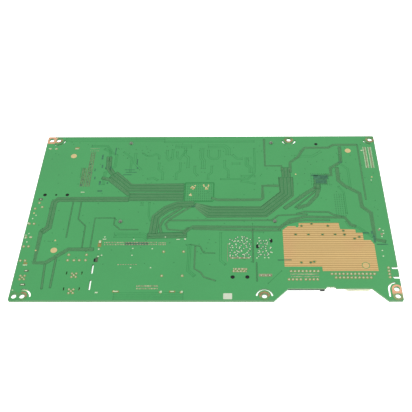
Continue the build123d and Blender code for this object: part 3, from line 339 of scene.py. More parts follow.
def solids_of(node):
    """Lowest and highest corner of each separate solid of a CAD node, in order of place."""
    shape = bmesh.new()
    shape.from_mesh(frame["nodes"][node].data)
    bmesh.ops.remove_doubles(shape, verts=shape.verts, dist=WELD)
    boxes = []
    seen = set()
    for start in shape.verts:
        if start in seen:
            continue
        seen.add(start)
        group = [start]
        for vertex in group:
            for line in vertex.link_edges:
                other = line.other_vert(vertex)
                if other not in seen:
                    seen.add(other)
                    group.append(other)
        low = Vector([min(vertex.co[axis] for vertex in group) for axis in range(3)])
        high = Vector([max(vertex.co[axis] for vertex in group) for axis in range(3)])
        boxes.append((low, high))
    shape.free()
    return sorted(boxes, key=lambda box: [round(value, 6) for value in (*box[0], *box[1])])


def middles_of(node, level=BOARD_TOP):
    """Middle of each solid of a CAD node, all at one level."""
    return [Vector(((low.x + high.x) / 2, (low.y + high.y) / 2, level)) for low, high in solids_of(node)]


def softened(node, width):
    """A copy of a CAD node, its level faces made one and its hard edges rounded, by angles in degrees."""
    level, hard = 1, 40
    piece = in_scene(node + "_copy", frame["nodes"][node].data.copy())
    edit(piece)
    bpy.ops.mesh.remove_doubles(threshold=WELD)
    bpy.ops.mesh.dissolve_limited(angle_limit=math.radians(level))
    to_object_mode()
    rounding = piece.modifiers.new("Rounding", "BEVEL")
    rounding.width = width
    rounding.segments = 2
    rounding.limit_method = "ANGLE"
    rounding.angle_limit = math.radians(hard)
    pick(piece)
    bpy.ops.object.modifier_apply(modifier=rounding.name)
    smooth(piece, hard)
    return piece


def slot_of(node):
    """The slot that the record gives a node."""
    return next(sub["material_slot"] for sub in frame["record"]["subparts"] if sub["node"] == node)


def handed_over(piece, name, slot, finish="", replaced=()):
    """Name a finished piece and let it ride on the board. Its finish is its slot's own unless given."""
    place_in_mesh(piece)
    piece.name = name
    piece.data.name = name
    piece.data.materials.clear()
    piece.data.materials.append(finish_of(finish or slot))
    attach(piece, BODY)
    if replaced:
        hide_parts(*replaced)


# ---------------------------------------------------------------- finishes


FINISH_MARK = "board_"
# Relief of a finish: grains for each metre, depth in millimetres and strength
FINE_RELIEF = (1500, 0.02, 0.2)
MASK_RELIEF = (1800, 0.01, 0.2)
# Roughness of the mask and of what it covers, from the smoothest spot to the roughest
MATTE = (0.5, 0.6)
# How the spots of metal are drawn out that is brushed along X, or rolled along Y
BRUSHED, ROLLED = (0.06, 1.6, 1.6), (1.0, 0.12, 1.0)
# Finishes that reflect less than others
DULL = (
    "masked_tracks", "track_bed", "faint_track", "dense_patch", "field_hole_shade", "via_ring", "black_plastic",
)
DULL_SPECULAR = 0.2


def shade(tint, share):
    """A lighter or darker colour."""
    return tuple(min(1.0, channel * share) for channel in tint)


def finish_of(name):
    """A material that the first operator has made."""
    return bpy.data.materials[FINISH_MARK + name]


class Finish:
    """Builds one node-based material step by step."""

    def __init__(self, name):
        self.material = bpy.data.materials.new(FINISH_MARK + name)
        self.material.use_nodes = True
        self.tree = self.material.node_tree
        self.surface = self.tree.nodes["Principled BSDF"]
        self.place = self.add("ShaderNodeTexCoord").outputs["Object"]

    def add(self, kind, **settings):
        """A new node of the material, with its settings."""
        node = self.tree.nodes.new(kind)
        for name, value in settings.items():
            setattr(node, name, value)
        return node

    def link(self, source, target):
        """Join an output to an input."""
        self.tree.links.new(source, target)

    def noise(self, scale, detail=3.0, stretch=(1, 1, 1)):
        """Noise in object space, scale in waves for each metre."""
        mapping = self.add("ShaderNodeMapping")
        mapping.inputs["Scale"].default_value = stretch
        self.link(self.place, mapping.inputs["Vector"])
        noise = self.add("ShaderNodeTexNoise")
        noise.inputs["Scale"].default_value = scale
        noise.inputs["Detail"].default_value = detail
        self.link(mapping.outputs["Vector"], noise.inputs["Vector"])
        return noise.outputs["Fac"]

    def ramp(self, value, stops):
        """Colours over a value, as (position, colour) stops."""
        ramp = self.add("ShaderNodeValToRGB")
        points = ramp.color_ramp.elements
        while len(points) < len(stops):
            points.new(0.5)
        for point, (position, tint) in zip(points, stops):
            point.position = position
            point.color = (*tint, 1)
        self.link(value, ramp.inputs["Fac"])
        return ramp.outputs["Color"]

    def uneven(self, value, tint, dark, light):
        """A colour that runs from a darker to a lighter shade of itself over a noise."""
        return self.ramp(value, [(0.3, shade(tint, dark)), (0.7, shade(tint, light))])

    def mix(self, share, first, second):
        """Two colours mixed by a share, each a socket or a plain value."""
        node = self.add("ShaderNodeMix", data_type="RGBA")
        for socket, value in ((node.inputs[0], share), (node.inputs[6], first), (node.inputs[7], second)):
            if isinstance(value, bpy.types.NodeSocket):
                self.link(value, socket)
            elif isinstance(value, float):
                socket.default_value = value
            else:
                socket.default_value = (*value, 1)
        return node.outputs[2]

    def span(self, value, low, high, start=0.0, end=1.0):
        """A value taken from one range to another."""
        node = self.add("ShaderNodeMapRange")
        node.inputs["From Min"].default_value = start
        node.inputs["From Max"].default_value = end
        node.inputs["To Min"].default_value = low
        node.inputs["To Max"].default_value = high
        self.link(value, node.inputs["Value"])
        return node.outputs["Result"]

    def part(self, axis, source=None):
        """One coordinate of the object space, or of another vector."""
        node = self.add("ShaderNodeSeparateXYZ")
        self.link(source or self.place, node.inputs["Vector"])
        return node.outputs[axis]

    def reckoned(self, operation, *values):
        """What a sum makes of one or two values."""
        node = self.add("ShaderNodeMath", operation=operation)
        for value, socket in zip(values, node.inputs):
            self.link(value, socket)
        return node.outputs[0]

    def colour(self, socket):
        """Give the surface its colour."""
        self.link(socket, self.surface.inputs["Base Color"])

    def rough(self, low, high, scale, detail=2.0, stretch=(1, 1, 1)):
        """Give the surface a roughness that runs between two values over a noise."""
        noise = self.noise(scale, detail, stretch)
        self.link(self.span(noise, low, high, 0.3, 0.7), self.surface.inputs["Roughness"])

    def bump(self, scale, depth, strength, stretch=(1, 1, 1)):
        """A fine relief, its depth in millimetres."""
        node = self.add("ShaderNodeBump")
        node.inputs["Strength"].default_value = strength
        node.inputs["Distance"].default_value = depth * MM
        self.link(self.noise(scale, 3.0, stretch), node.inputs["Height"])
        self.link(node.outputs["Normal"], self.surface.inputs["Normal"])

    def set(self, **values):
        """Set plain values of the surface, each under its own name, and give the material back."""
        for name, value in values.items():
            self.surface.inputs[name.replace("_", " ")].default_value = value
        return self.material


def plain_finish(name, tint, contrast, scale, rough, relief, metal=0.0, stretch=(1, 1, 1), **values):
    """A material with an uneven colour, an uneven roughness and a fine relief."""
    finish = Finish(name)
    finish.colour(finish.uneven(finish.noise(scale, 4.0, stretch), tint, 1 - contrast, 1 + contrast))
    finish.rough(*rough, scale * 2, 3.0, stretch)
    finish.bump(*relief, stretch)
    return finish.set(Metallic=metal, **values)


def mask_finish(colours):
    """Green mask on both sides of the board, bare laminate at the cut edges, painted edge shade along the
    top's rim.
    """
    finish = Finish("solder_mask")
    clouds = finish.uneven(finish.noise(18), colours.mask, 0.965, 1.035)
    top = finish.mix(0.10, clouds, finish.uneven(finish.noise(900, 4.0), colours.mask, 0.7, 1.3))
    # Painted shade: a greyer rim in the track colour along the edges of the top, where the board's edges
    # look shaded
    for axis, reach in (("X", RIGHT), ("Y", BACK)):
        away = finish.reckoned("ABSOLUTE", finish.part(axis))
        edge_shade_rim = finish.span(away, 0, 0.8, reach - 1.0 * MM, reach - 0.7 * MM)
        top = finish.mix(edge_shade_rim, top, colours.track)
    edge = finish.uneven(finish.noise(2600, 2.0, (0.2, 0.2, 3.0)), colours.laminate, 0.7, 1.2)
    normal = finish.add("ShaderNodeNewGeometry").outputs["Normal"]
    upright = finish.reckoned("ABSOLUTE", finish.part("Z", normal))
    finish.colour(finish.mix(finish.span(upright, 0, 1, 0.3, 0.6), edge, top))
    finish.rough(0.30, 0.42, 60)
    finish.bump(1400, 0.02, 0.15)
    return finish.material


def heat_field_finish(colours):
    """Tan bars of bare copper, darker in the grooves and reddish where they are tarnished."""
    finish = Finish("bare_copper")
    bar = tuple(colours.copper)
    top = BOARD_TOP + 0.1 * MM
    raised = finish.span(finish.part("Z"), 0, 1, top - 0.03 * MM, top - 0.01 * MM)
    streaks = finish.noise(60, 4.0, (0.25, 2.0, 1))
    bars = finish.ramp(streaks, [(0.25, shade(bar, 0.93)), (0.55, bar), (0.8, shade(bar, 1.07))])
    tarnish = finish.ramp(finish.noise(22), [(0.62, (0, 0, 0)), (0.75, (1, 1, 1))])
    red = (bar[0] * 1.02, bar[1] * 0.86, bar[2] * 0.98)
    bars = finish.mix(finish.span(tarnish, 0, 0.6), bars, red)
    finish.colour(finish.mix(raised, colours.copper_groove, bars))
    finish.rough(0.38, 0.6, 300)
    finish.bump(1500, 0.02, 0.25)
    return finish.set(Metallic=0.35)


def land_finish(colours):
    """Lands round the screw holes, brown at most of them and red copper at two opposite corners."""
    finish = Finish("tarnished_land")
    brown, mask = tuple(colours.land), tuple(colours.mask)
    slant = finish.reckoned("SUBTRACT", finish.part("X"), finish.part("Y"))
    corner = finish.span(finish.reckoned("ABSOLUTE", slant), 0, 1, 0.14, 0.2)
    outer = finish.span(finish.reckoned("ABSOLUTE", finish.part("X")), 0, 1, 140.4 * MM, 142 * MM)
    far_left = finish.span(finish.part("X"), 0.85, 0, -141.4 * MM, -140 * MM)
    masked = finish.reckoned("MULTIPLY", far_left, finish.span(finish.part("Y"), 1, 0, -0.01, 0.01))
    spots = finish.noise(420, 4.0)
    browns = finish.ramp(spots, [(0.3, shade(brown, 0.6)), (0.5, brown), (0.7, shade(brown, 1.5))])
    away = finish.reckoned("ABSOLUTE", finish.part("Y"))
    browns = finish.mix(finish.span(away, 0, 0.75, 85.4 * MM, 87 * MM), browns, mask)
    reds = finish.uneven(spots, colours.red_land, 0.85, 1.12)
    nearest = finish.span(finish.part("Y"), 0.7, 0, -84.4 * MM, -82.6 * MM)
    reds = finish.mix(nearest, reds, shade(mask, 0.9))
    both = finish.mix(finish.reckoned("MULTIPLY", corner, outer), browns, reds)
    finish.colour(finish.mix(masked, both, mask))
    finish.rough(0.35, 0.6, 500)
    finish.bump(900, 0.03, 0.3)
    return finish.set(Metallic=0.3)


def make_finishes(board, parts):
    """Every material of the object, by the name of the record's slot."""
    made = {
        "solder_mask": mask_finish(board),
        "bare_copper": heat_field_finish(board),
        "tarnished_land": land_finish(board),
    }
    # Colour, how far it strays, spots for each metre, roughness, relief, share of metal, stretch of spots
    plain = {
        "masked_tracks": (board.track, 0.06, 200, MATTE, MASK_RELIEF),
        "track_bed": (board.mask_gap, 0.06, 120, MATTE, MASK_RELIEF),
        "faint_track": (board.faint, 0.06, 160, MATTE, MASK_RELIEF),
        "dense_patch": (board.dense, 0.3, 500, MATTE, FINE_RELIEF),
        # Brown painted shade round the holes of the copper field
        "field_hole_shade": (board.field_hole_shade, 0.25, 500, MATTE, FINE_RELIEF),
        "pad_ring": (board.pad_ring, 0.2, 700, (0.4, 0.6), FINE_RELIEF, 0.2),
        "via_ring": ((0.15, 0.15, 0.09), 0.6, 700, MATTE, FINE_RELIEF),
        "stain": ((0.20, 0.20, 0.11), 0.4, 700, MATTE, FINE_RELIEF),
        # Near-black painted shadow round the tabs in the slots
        "pad_shadow": ((0.05, 0.07, 0.035), 0.5, 700, MATTE, FINE_RELIEF),
        "card_pad": ((0.42, 0.32, 0.22), 0.55, 420, (0.45, 0.6), FINE_RELIEF, 0.2),
        "gold_finish": (board.gold, 0.06, 400, (0.28, 0.42), (1200, 0.02, 0.2), 0.55),
        "solder": (board.solder, 0.08, 900, (0.22, 0.42), (1500, 0.03, 0.25), 0.45),
        "white_ink": ((0.48, 0.53, 0.41), 0.04, 500, (0.5, 0.65), (2600, 0.02, 0.3)),
        "nylon": (parts.nylon, 0.05, 300, (0.35, 0.5), (900, 0.03, 0.2)),
        "spring_steel": ((0.35, 0.35, 0.34), 0.1, 700, (0.25, 0.4), FINE_RELIEF, 1.0),
        "chip_body": (parts.chip, 0.12, 700, (0.5, 0.7), (3200, 0.03, 0.35)),
        "chip_mark": ((0.05, 0.05, 0.055), 0.1, 700, (0.3, 0.4), (3200, 0.01, 0.2)),
        "thermal_pad": ((0.17, 0.26, 0.34), 0.08, 500, (0.7, 0.85), (1600, 0.05, 0.3)),
        "tinned_metal": ((0.62, 0.61, 0.58), 0.1, 800, (0.22, 0.4), (1600, 0.02, 0.2), 0.9),
        "black_plastic": (parts.black_plastic, 0.15, 500, (0.38, 0.55), (2200, 0.03, 0.25)),
        "cream_plastic": (parts.cream_plastic, 0.04, 260, (0.38, 0.52), (1800, 0.02, 0.2)),
        "contact_gold": ((0.72, 0.50, 0.18), 0.08, 700, (0.2, 0.35), (1400, 0.02, 0.15), 1.0),
        "plated_brass": ((0.60, 0.52, 0.36), 0.08, 500, (0.22, 0.38), (1300, 0.02, 0.2), 1.0),
        "ferrite": (parts.ferrite, 0.14, 900, (0.55, 0.75), (2800, 0.05, 0.4)),
        "copper_wire": (parts.wire, 0.12, 900, (0.25, 0.4), FINE_RELIEF, 0.7),
        "can_aluminium": (parts.aluminium, 0.04, 500, (0.25, 0.38), (900, 0.01, 0.15), 1.0),
        "ceramic_tan": (parts.ceramic, 0.1, 900, (0.4, 0.55), (2600, 0.03, 0.3)),
        "resistor_black": ((0.012, 0.012, 0.015), 0.2, 900, (0.3, 0.45), (2600, 0.02, 0.2)),
        "sink_aluminium": (parts.aluminium, 0.05, 420, (0.28, 0.46), (1600, 0.03, 0.35), 1.0, BRUSHED),
        "screening_sheet": (parts.sheet, 0.05, 300, (0.24, 0.4), (1300, 0.02, 0.3), 1.0, ROLLED),
    }
    for name, values in plain.items():
        made[name] = plain_finish(name, *values)
    for name in DULL:
        surface = made[name].node_tree.nodes["Principled BSDF"]
        surface.inputs["Specular IOR Level"].default_value = DULL_SPECULAR
    return made


class BOARD_OT_finishes(bpy.types.Operator):
    """Make every material and give each packed node its own"""

    bl_idname = "board.finishes"
    bl_label = "Finishes"
    bl_options = {"REGISTER", "UNDO"}

    def execute(self, context):
        made = make_finishes(context.scene.board_colours, context.scene.part_colours)
        for sub in frame["record"]["subparts"]:
            for slot in frame["nodes"][sub["node"]].material_slots:
                slot.material = made[sub["material_slot"]]
        for slot in frame["nodes"]["mounting_lands"].material_slots:
            slot.material = made["tarnished_land"]
        return {"FINISHED"}


# ---------------------------------------------------------------- tracks

# Width of a group in millimetres, the bends of its middle line, and the share of its width that it
# starts with where its lines fan out. X is from the left edge, the middle and the right edge of the
# board in turn, Y from the middle.
LEFT_RUNS = [
    (9.4, [(128.6, 26), (81.5, 26), (65.5, 42)]),
    (4.6, [(65.5, 42), (60.5, 50), (59.5, 64)]),
    (3.4, [(82, 17.6), (63, 35.6), (56, 38)]),
    (5.2, [(82, 12.7), (22, 12.7), (18.8, 9.5), (18.8, -18), (14, -23)]),
    (3.2, [(13.4, -22), (13.6, -54.2), (22.6, -54.2), (38.6, -40.8), (59, -40.8)]),
    (1.4, [(30.3, -49), (30.3, -78)]),
    (1.4, [(22.4, -55), (24, -79)]),
    (0.8, [(35, 9.8), (35, -28.5)]),
    (0.8, [(42, 9.8), (42, -9), (49, -16.5), (49.4, -39)]),
    (0.8, [(72.5, -8), (56, -8), (56, -39)]),
    (0.8, [(72.5, -8), (72.5, -15), (78, -20.5), (93, -20.5)]),
]
MIDDLE_RUNS = [
    (9.0, [(-21.4, 15.6), (-68, 15.6)]),
    (6.8, [(-12, 7.0), (-26, 6.4), (-35, 1.8), (-43.4, -7.0), (-44.4, -25)]),
    (2.0, [(-22, 3.4), (-36.8, -9.8), (-39.4, -17), (-37.8, -24)]),
    (1.6, [(-14.2, 4.8), (-31.4, -9.4), (-34.8, -14.6), (-32.6, -20.4), (-19.4, -22.0), (-15.6, -18.4)]),
    (5.6, [(-49, -27), (-17, -26.2)]),
    (1.2, [(-31.4, -10.8), (53, -10.8), (58.5, -5.6), (83, -4.2)]),
    (1.6, [(60, -21.6), (38, -21.6), (-12, -19.8)]),
    (12.6, [(-11.6, 6.6), (1.2, -1.6), (46.6, -1.6), (66.8, 18.6), (66.8, 38)], 0.35),
    (7.4, [(67.4, 38), (67.4, 50)]),
    (1.6, [(49.2, 86), (49.2, 52), (63.8, 52), (63.8, 46)]),
    (2.4, [(2.5, 14), (8, 11.9), (44, 11.9), (46.3, 14), (46.3, 28), (61, 28)]),
    (0.8, [(37, -20), (37, -54)]),
    (0.8, [(39.6, -54), (39.6, -72)]),
    (1.0, [(-9.4, -38), (-9.4, -60), (-4.4, -63.5), (-1.6, -68), (7.5, -71.5)]),
    (0.7, [(-13.6, -36), (-5.5, -38), (-2.5, -44.5), (6.5, -44.8)]),
]
RIGHT_RUNS = [
    (1.2, [(-92, -21.0), (-85.6, -15.4), (-77, -12.0), (-70.2, -10.9), (-49, -10.9)]),
    (2.4, [
        (-170, -25), (-165.5, -20.5), (-162, -17.5), (-90.5, -18.3), (-81.8, -10.6),
        (-69.2, -7.2), (-36.1, -8), (-32.7, -15.2), (-28.2, -17.5),
    ]),
    (2.2, [
        (-78.8, 44), (-78.4, 56), (-70.6, 63.4), (-67.6, 70),
        (-64, 74.8), (-43, 74.8), (-38, 78.5), (-16.3, 78.5),
    ]),
    (1.0, [(-16.3, 78), (-16.3, 12)]),
    (11.0, [(-53, 41), (-53, 30)]),
    (5.6, [(-56.6, 30), (-56.6, 24)]),
    (3.2, [(-57.5, 26), (-65.5, 20), (-86, 2)]),
    (3.0, [(-55, 25), (-58, 16), (-66, 6), (-75, 2.6)]),
    (1.4, [(-58, 22.6), (-61.6, 18.2), (-77, 2.9)]),
    (2.6, [(-49, 40.4), (-43.2, 40.4), (-43.2, 49), (-33.2, 57), (-32.6, 76)]),
    (3.0, [
        (-37.5, 50), (-37.5, 34), (-33, 28), (-21, 19),
        (-20.6, 3.8), (-14, -3), (-14, -31), (-6, -33.5),
    ]),
    (1.4, [(-76, -4), (-69, -1.5), (-49.4, -2), (-45.4, -4.9), (-37, -7.1)]),
]
RUN_GROUPS = ((LEFT, LEFT_RUNS), (0.0, MIDDLE_RUNS), (RIGHT, RIGHT_RUNS))

# Thin runs that hardly show: how many lines, how far apart, and the bends from the board's middle
FAINT_RUNS = [
    (4, 1.9, [(-70, -85.4), (-17, -85.4)]),
    (3, 2.0, [(-133, 86.2), (-42, 86.2)]),
    (2, 1.6, [(-42, 83.2), (40, 83.2)]),
    (4, 1.5, [(-76, -26.4), (-52, -26.4), (-48, -30)]),
    (3, 1.2, [(-14, -36), (-14, -62), (-9, -67)]),
    (2, 1.4, [(11, -24), (11, -52), (15, -56)]),
    (3, 1.1, [(-96, 74), (-84, 66), (-84, 52), (-92, 44), (-92, 30)]),
    (2, 1.3, [(-78, 70), (-70, 62), (-70, 46)]),
    (3, 1.0, [(-108, 78), (-94, 78), (-90, 72), (-90, 58)]),
    (2, 1.5, [(116, 66), (116, 54), (122, 48), (122, 26)]),
    (2, 1.2, [(10, 36), (34, 36), (40, 44), (40, 74)]),
    (2, 2.2, [(76, 64), (92, 64), (100, 70)]),
    (1, 1.0, [(37, -14), (37, -24), (46, -24)]),
    (2, 1.2, [(-50, 9), (-49.6, -5), (-47.4, -11)]),
    (1, 1.0, [(59, -62.2), (48.2, -74)]),
    (2, 1.2, [(111.9, 27), (115.8, 20), (115.8, -3)]),
    (3, 1.1, [(114.6, -12), (116.8, -17.6), (123.6, -18.4), (128.6, -23.4), (134.4, -28.4)]),
    # Round the memory chips
    (2, 1.6, [(-38.6, 72), (-38.6, 62), (-36.4, 59.4), (-33.6, 61.5), (-33.6, 73)]),
    (2, 1.4, [(-29.5, 70), (-29.5, 63), (-27, 60.6), (-24.4, 66), (-21.6, 72)]),
    (3, 1.7, [(-7.4, 74), (-7.4, 62), (-5.6, 59), (-5.6, 49)]),
    (2, 1.6, [(-13, 52), (-13, 44), (-10.4, 40.4)]),
    (2, 1.8, [(-67, 68), (-67, 56), (-61, 48)]),
    (2, 1.3, [(-60.4, 68), (-56.6, 65), (-52, 65), (-49, 67.4), (-45.6, 65.4), (-45.6, 61)]),
    (3, 1.9, [(-31.4, 77), (-17, 77)]),
    (2, 2.0, [(-22.4, 75), (-22.4, 66), (-19.2, 62.6), (-19.2, 50)]),
    (3, 1.9, [(-1.6, 77), (13.4, 77), (16.4, 73.6), (16.4, 66)]),
    (2, 1.6, [(-1.4, 72), (-1.4, 64), (1.6, 61), (6.6, 61), (8.4, 63.4), (8.4, 72)]),
    (2, 1.5, [(20, 55), (27, 55)]),
    (2, 1.7, [(20.4, 66), (24.6, 61), (29, 61)]),
    (2, 1.9, [(28, 39.6), (40, 39.6)]),
    (2, 1.6, [(27.8, 33.6), (34, 32.4), (40, 30.6)]),
    (2, 1.5, [(-54, 36.4), (-48.8, 37.6), (-45, 35)]),
    (2, 1.5, [(13.4, 59), (13.4, 50), (16.6, 46.6), (16.6, 38)]),
    (2, 1.5, [(-26, 56), (-26, 46), (-29, 43), (-29, 36)]),
    (3, 1.4, [(33, 62), (33, 53), (36.4, 49.6), (36.4, 44)]),
    (2, 1.5, [(-45, 56), (-45, 48), (-41, 44), (-41, 35.6)]),
    (2, 1.5, [(2, 52), (2, 44), (-1, 41), (-1, 36)]),
]
# Fields of small plated holes: first one, how many across and up, and the steps between them
OPEN_VIAS = [
    (-107.2, 28.0, 3, 46, 1.55, 0.92),
    (-112.0, 28.0, 3, 24, 1.5, 0.92),
]
CORNER_VIAS = [(138.6, 49.6, 4, 26, 2.3, 1.02)]
TENTED_VIAS = [
    (-20.0, 11.4, 13, 11, 1.85, 2.0),
    (107.4, -6.0, 5, 13, 1.9, 2.0),
    (-113.4, 38.6, 3, 9, 1.3, 1.4),
    (89.0, 29.0, 9, 8, 1.9, 1.9),
    (-57.0, 6.0, 2, 3, 1.6, 1.6),
]
# Rows of fine contacts: the first one, how many, the step between them, their lengths along X and Y
FINE_CONTACTS = [
    (66.0, -65.4, 22, 1.0, 0.5, 1.0),
    (66.4, -67.7, 22, 1.0, 0.5, 0.8),
    (21.4, -60.2, 9, 1.25, 0.5, 1.5),
    (21.4, -62.9, 9, 1.25, 0.5, 1.1),
    (-53.0, -76.4, 15, 1.15, 0.5, 1.5),
    (-53.0, -78.8, 15, 1.15, 0.5, 1.1),
    (-108.5, 71.6, 7, 1.2, 0.6, 0.5),
    (-108.5, 74.4, 7, 1.2, 0.6, 0.5),
    (-69.5, -56.0, 8, 2.0, 1.2, 0.5),
    (-38.8, -34.4, 5, 1.3, 0.7, 0.9),
    (-38.8, -36.2, 5, 1.3, 0.7, 0.9),
]
# Flat forms on the board, each from its middle and its lengths along X and Y. First the bright bars
SOLDER_BARS = [
    (-86.7, -33.3, 1.6, 2.6), (-86.8, -40.8, 1.3, 1.6), (-86.3, -48.0, 1.4, 1.2),
    (-83.7, -46.9, 1.3, 1.2), (-83.4, -30.6, 3.0, 0.8), (-83.4, -82.4, 2.2, 1.2),
    (-68.8, -81.4, 3.6, 0.9), (-23.5, -31.0, 2.8, 0.8), (-17.9, -30.6, 1.6, 1.4),
    (-34.0, -81.8, 1.4, 1.8), (-25.4, -81.5, 2.8, 0.9), (-17.9, -81.8, 1.2, 1.8),
    (-143.2, -56.4, 3.6, 0.9), (-141.2, -61.8, 2.0, 0.9), (-141.5, -74.9, 2.6, 0.9),
    (-145.8, 74.4, 2.8, 0.8), (-140.3, 74.0, 2.4, 0.9), (-121.2, 74.2, 2.8, 0.9),
    (-108.6, 20.9, 3.4, 0.8), (-149.0, -13.4, 1.2, 1.6), (-144.0, -28.4, 2.6, 0.7),
    (-148.2, -29.3, 1.4, 0.8), (-148.3, -26.3, 2.2, 0.6), (137.2, 71.0, 1.4, 1.4),
]
# Stained pads
BROWN_PADS = [
    (-86.7, -36.8, 2.8, 3.4), (-143.2, -54.6, 3.0, 1.6), (-121.0, 75.4, 3.6, 1.6),
    (-86.7, -33.5, 2.4, 3.6), (-68.8, -81.4, 5.0, 1.5), (-25.4, -81.5, 4.6, 1.5), (-13.3, 25.8, 2.4, 2.2),
]
# Stained ground between pads
STAINS = [
    (139.8, 62.4, 1.0, 26.0), (144.4, 62.4, 1.0, 26.0), (46.3, -66.3, 10.4, 2.6),
    (140.2, -21.2, 1.8, 1.8), (141.9, -25.8, 1.8, 2.4),
]
# Near-black pads round tabs that come through slots: painted shadow
PAD_SHADOWS = [
    (-87.2, -51.2, 2.0, 4.6), (-140.9, -61.8, 3.4, 1.8), (-141.4, -74.9, 4.0, 1.8),
    (-143.4, 12.9, 3.4, 2.4),
]
# Patches where tracks and plated holes lie so close that the mask looks dark
DARK_PATCHES = [
    (97.4, 38.0, 12.6, 4.6), (97.4, 33.0, 9.4, 4.6), (92.4, 40.4, 6.0, 1.6), (116.2, 56.3, 3.2, 1.6),
    (129.0, -24.4, 5.0, 1.4), (134.2, -24.0, 1.6, 3.2), (135.4, -30.4, 1.8, 8.0),
    (141.0, -36.2, 9.0, 0.9), (-96.6, 63.5, 1.5, 5.6), (-95.4, 52.0, 1.2, 4.0), (-95.2, 31.8, 1.7, 4.4),
    (-94.0, 22.4, 4.2, 1.4), (-92.1, 50.0, 0.9, 3.4), (-87.8, 50.0, 1.2, 4.0), (-88.6, 31.8, 1.2, 1.6),
    (-100.3, 37.8, 1.1, 3.0), (-101.4, 47.6, 0.9, 3.2), (-85.5, 71.0, 0.9, 9.0), (-64.8, 57.5, 0.8, 7.0),
    (-64.0, 50.0, 1.2, 2.0), (-70.5, 47.6, 9.0, 0.7), (-69.0, 44.6, 10.0, 0.7), (-72.0, 41.6, 8.0, 0.7),
    (-111.2, 29.4, 2.2, 2.8), (-110.6, 36.0, 1.6, 1.8), (-106.2, 33.0, 2.2, 1.4),
    (-105.0, 44.0, 3.6, 1.2), (-106.4, 54.6, 2.4, 1.1), (-12.4, 4.6, 3.2, 1.4), (-56.9, -35.2, 18.6, 3.0),
    (-147.2, -82.6, 2.0, 1.6), (45.6, -33.0, 1.2, 1.2), (119.4, -30.4, 2.2, 0.8),
]
# Ground bars round the main processor's holes
CHIP_GROUND = [
    (-8.0, 31.6, 25.0, 1.3), (4.2, 21.0, 1.3, 20.0), (-5.0, 10.2, 18.0, 1.6), (-20.4, 20.8, 1.0, 21.0),
]
# The slit in the copper field, and lines round the network jack's pins
FIELD_SLIT = [(61.9, -51.7, 11.0, 0.8)]
FRAME_LINES = [(16.7, -44.0, 0.35, 18.0), (26.6, -49.6, 16.0, 1.4)]
# Plated holes through the copper field
FIELD_VIAS = [
    (77.2, -16.9), (98.9, -16.9), (71.9, -26.0), (82.3, -26.0), (93.8, -26.0), (104.0, -26.0),
    (111.6, -26.4), (123.3, -28.7), (119.4, -30.4), (74.8, -54.3), (82.3, -54.3), (85.0, -53.4),
    (111.1, -22.2), (85.6, -14.6),
]
# Holes round the land near the notch: its middle, how far out they lie, and their angles
LAND_MIDDLE, LAND_REACH = (45.0, -86.6), 4.9
LAND_ANGLES = (32, 60, 90, 120, 148)
# The dark end of a locating peg
PEG_HOLE = [(96.4, 79.4)]
# Clusters of small holes round the network jack's pins: their middles, reaches and full counts, how
# often a place is tried for each hole, and how close two of them may lie
CLUSTERS = [((26.8, -38.6), (8.4, 10.2), 22), ((45.8, -40.0), (5.2, 9.2), 12)]
CLUSTER_TRIES, CLUSTER_SPACING = 6, 2.0
# Small gilded dots
GOLD_SPECKS = [
    (-14.4, 27.4), (-12.6, 26.0), (-13.6, 24.6), (-4.2, 27.6), (-2.4, 26.2), (-1.2, 24.6), (-0.6, 27.2),
    (-16.2, 17.5), (-15.4, 18.6), (-15.0, 17.0), (-12.0, 28.4), (-15.4, 25.8), (-4.6, 29.2), (-0.4, 29.0),
    (-2.6, 24.6), (-123.4, -31.6), (75.8, 41.8), (-137.4, -41.8), (-70.2, -81.0), (-146.2, -2.4),
    (142.0, 38.2),
]
# A wide group has more lines than this, and leaves one line out of every so many
WIDE_GROUP, GAP_STEP, GAP_PLACE = 6, 5, 3
# How much wider than its lines the ground of a group is, in parts of their pitch
BED_RIM = 0.8
# Lone holes under the mask on each side: how many, and where they may lie in metres
TOP_HOLES, TOP_X, TOP_Y = 260, (-0.145, 0.145), (-0.056, 0.084)
UNDER_HOLES, UNDER_X, UNDER_Y = 240, (-0.142, 0.142), (-0.060, 0.084)
# Lone holes keep out of the copper field: right of this and in front of that, in metres
FIELD_EDGE_X, FIELD_EDGE_Y = 0.055, -0.008


def moved_aside(route, aside):
    """A route moved sideways, with its bends kept true unless they are very sharp."""
    sharpest = 0.4
    moved = []
    for i, point in enumerate(route):
        before = (point - route[i - 1]).normalized() if i else None
        after = (route[i + 1] - point).normalized() if i + 1 < len(route) else None
        along = ((before or after) + (after or before)).normalized()
        across = Vector((-along.y, along.x))
        lean = along.dot(after or before)
        moved.append(point + across * aside / max(lean, sharpest))
    return moved


def strip(routes, width, height, level, name, mouth=1.0):
    """Flat bars along routes, as one mesh. Each starts with the share of its width that mouth gives."""
    to_object_mode()
    half, low, narrower = width / 2, height / 2, 0.8
    section = bpy.data.curves.new(name + "_section", "CURVE")
    section.dimensions = "2D"
    corners = ((-half, -low), (half, -low), (half * narrower, low), (-half * narrower, low))
    drawn(section, [(x, y, 0) for x, y in corners]).use_cyclic_u = True
    section_piece = in_scene(name + "_section", section)
    lines = bpy.data.curves.new(name, "CURVE")
    lines.dimensions = "3D"
    lines.twist_mode = "Z_UP"
    lines.bevel_mode = "OBJECT"
    lines.bevel_object = section_piece
    lines.use_fill_caps = True
    for route in routes:
        line = drawn(lines, [(place.x, place.y, level + low) for place in route])
        line.points[0].radius = mouth
    piece = as_mesh(name, lines)
    bpy.data.objects.remove(section_piece)
    return piece


def run_routes():
    """Every group of tracks: its width, its middle line in metres and its share of width at the start."""
    for origin, runs in RUN_GROUPS:
        for width, bends, *mouth in runs:
            route = [Vector((origin + x * MM, y * MM)) for x, y in bends]
            yield width * MM, route, mouth[0] if mouth else 1.0


def side_by_side(route, count, pitch):
    """The lines of a group about its middle line."""
    return [moved_aside(route, aside) for aside in spread(count, pitch)]


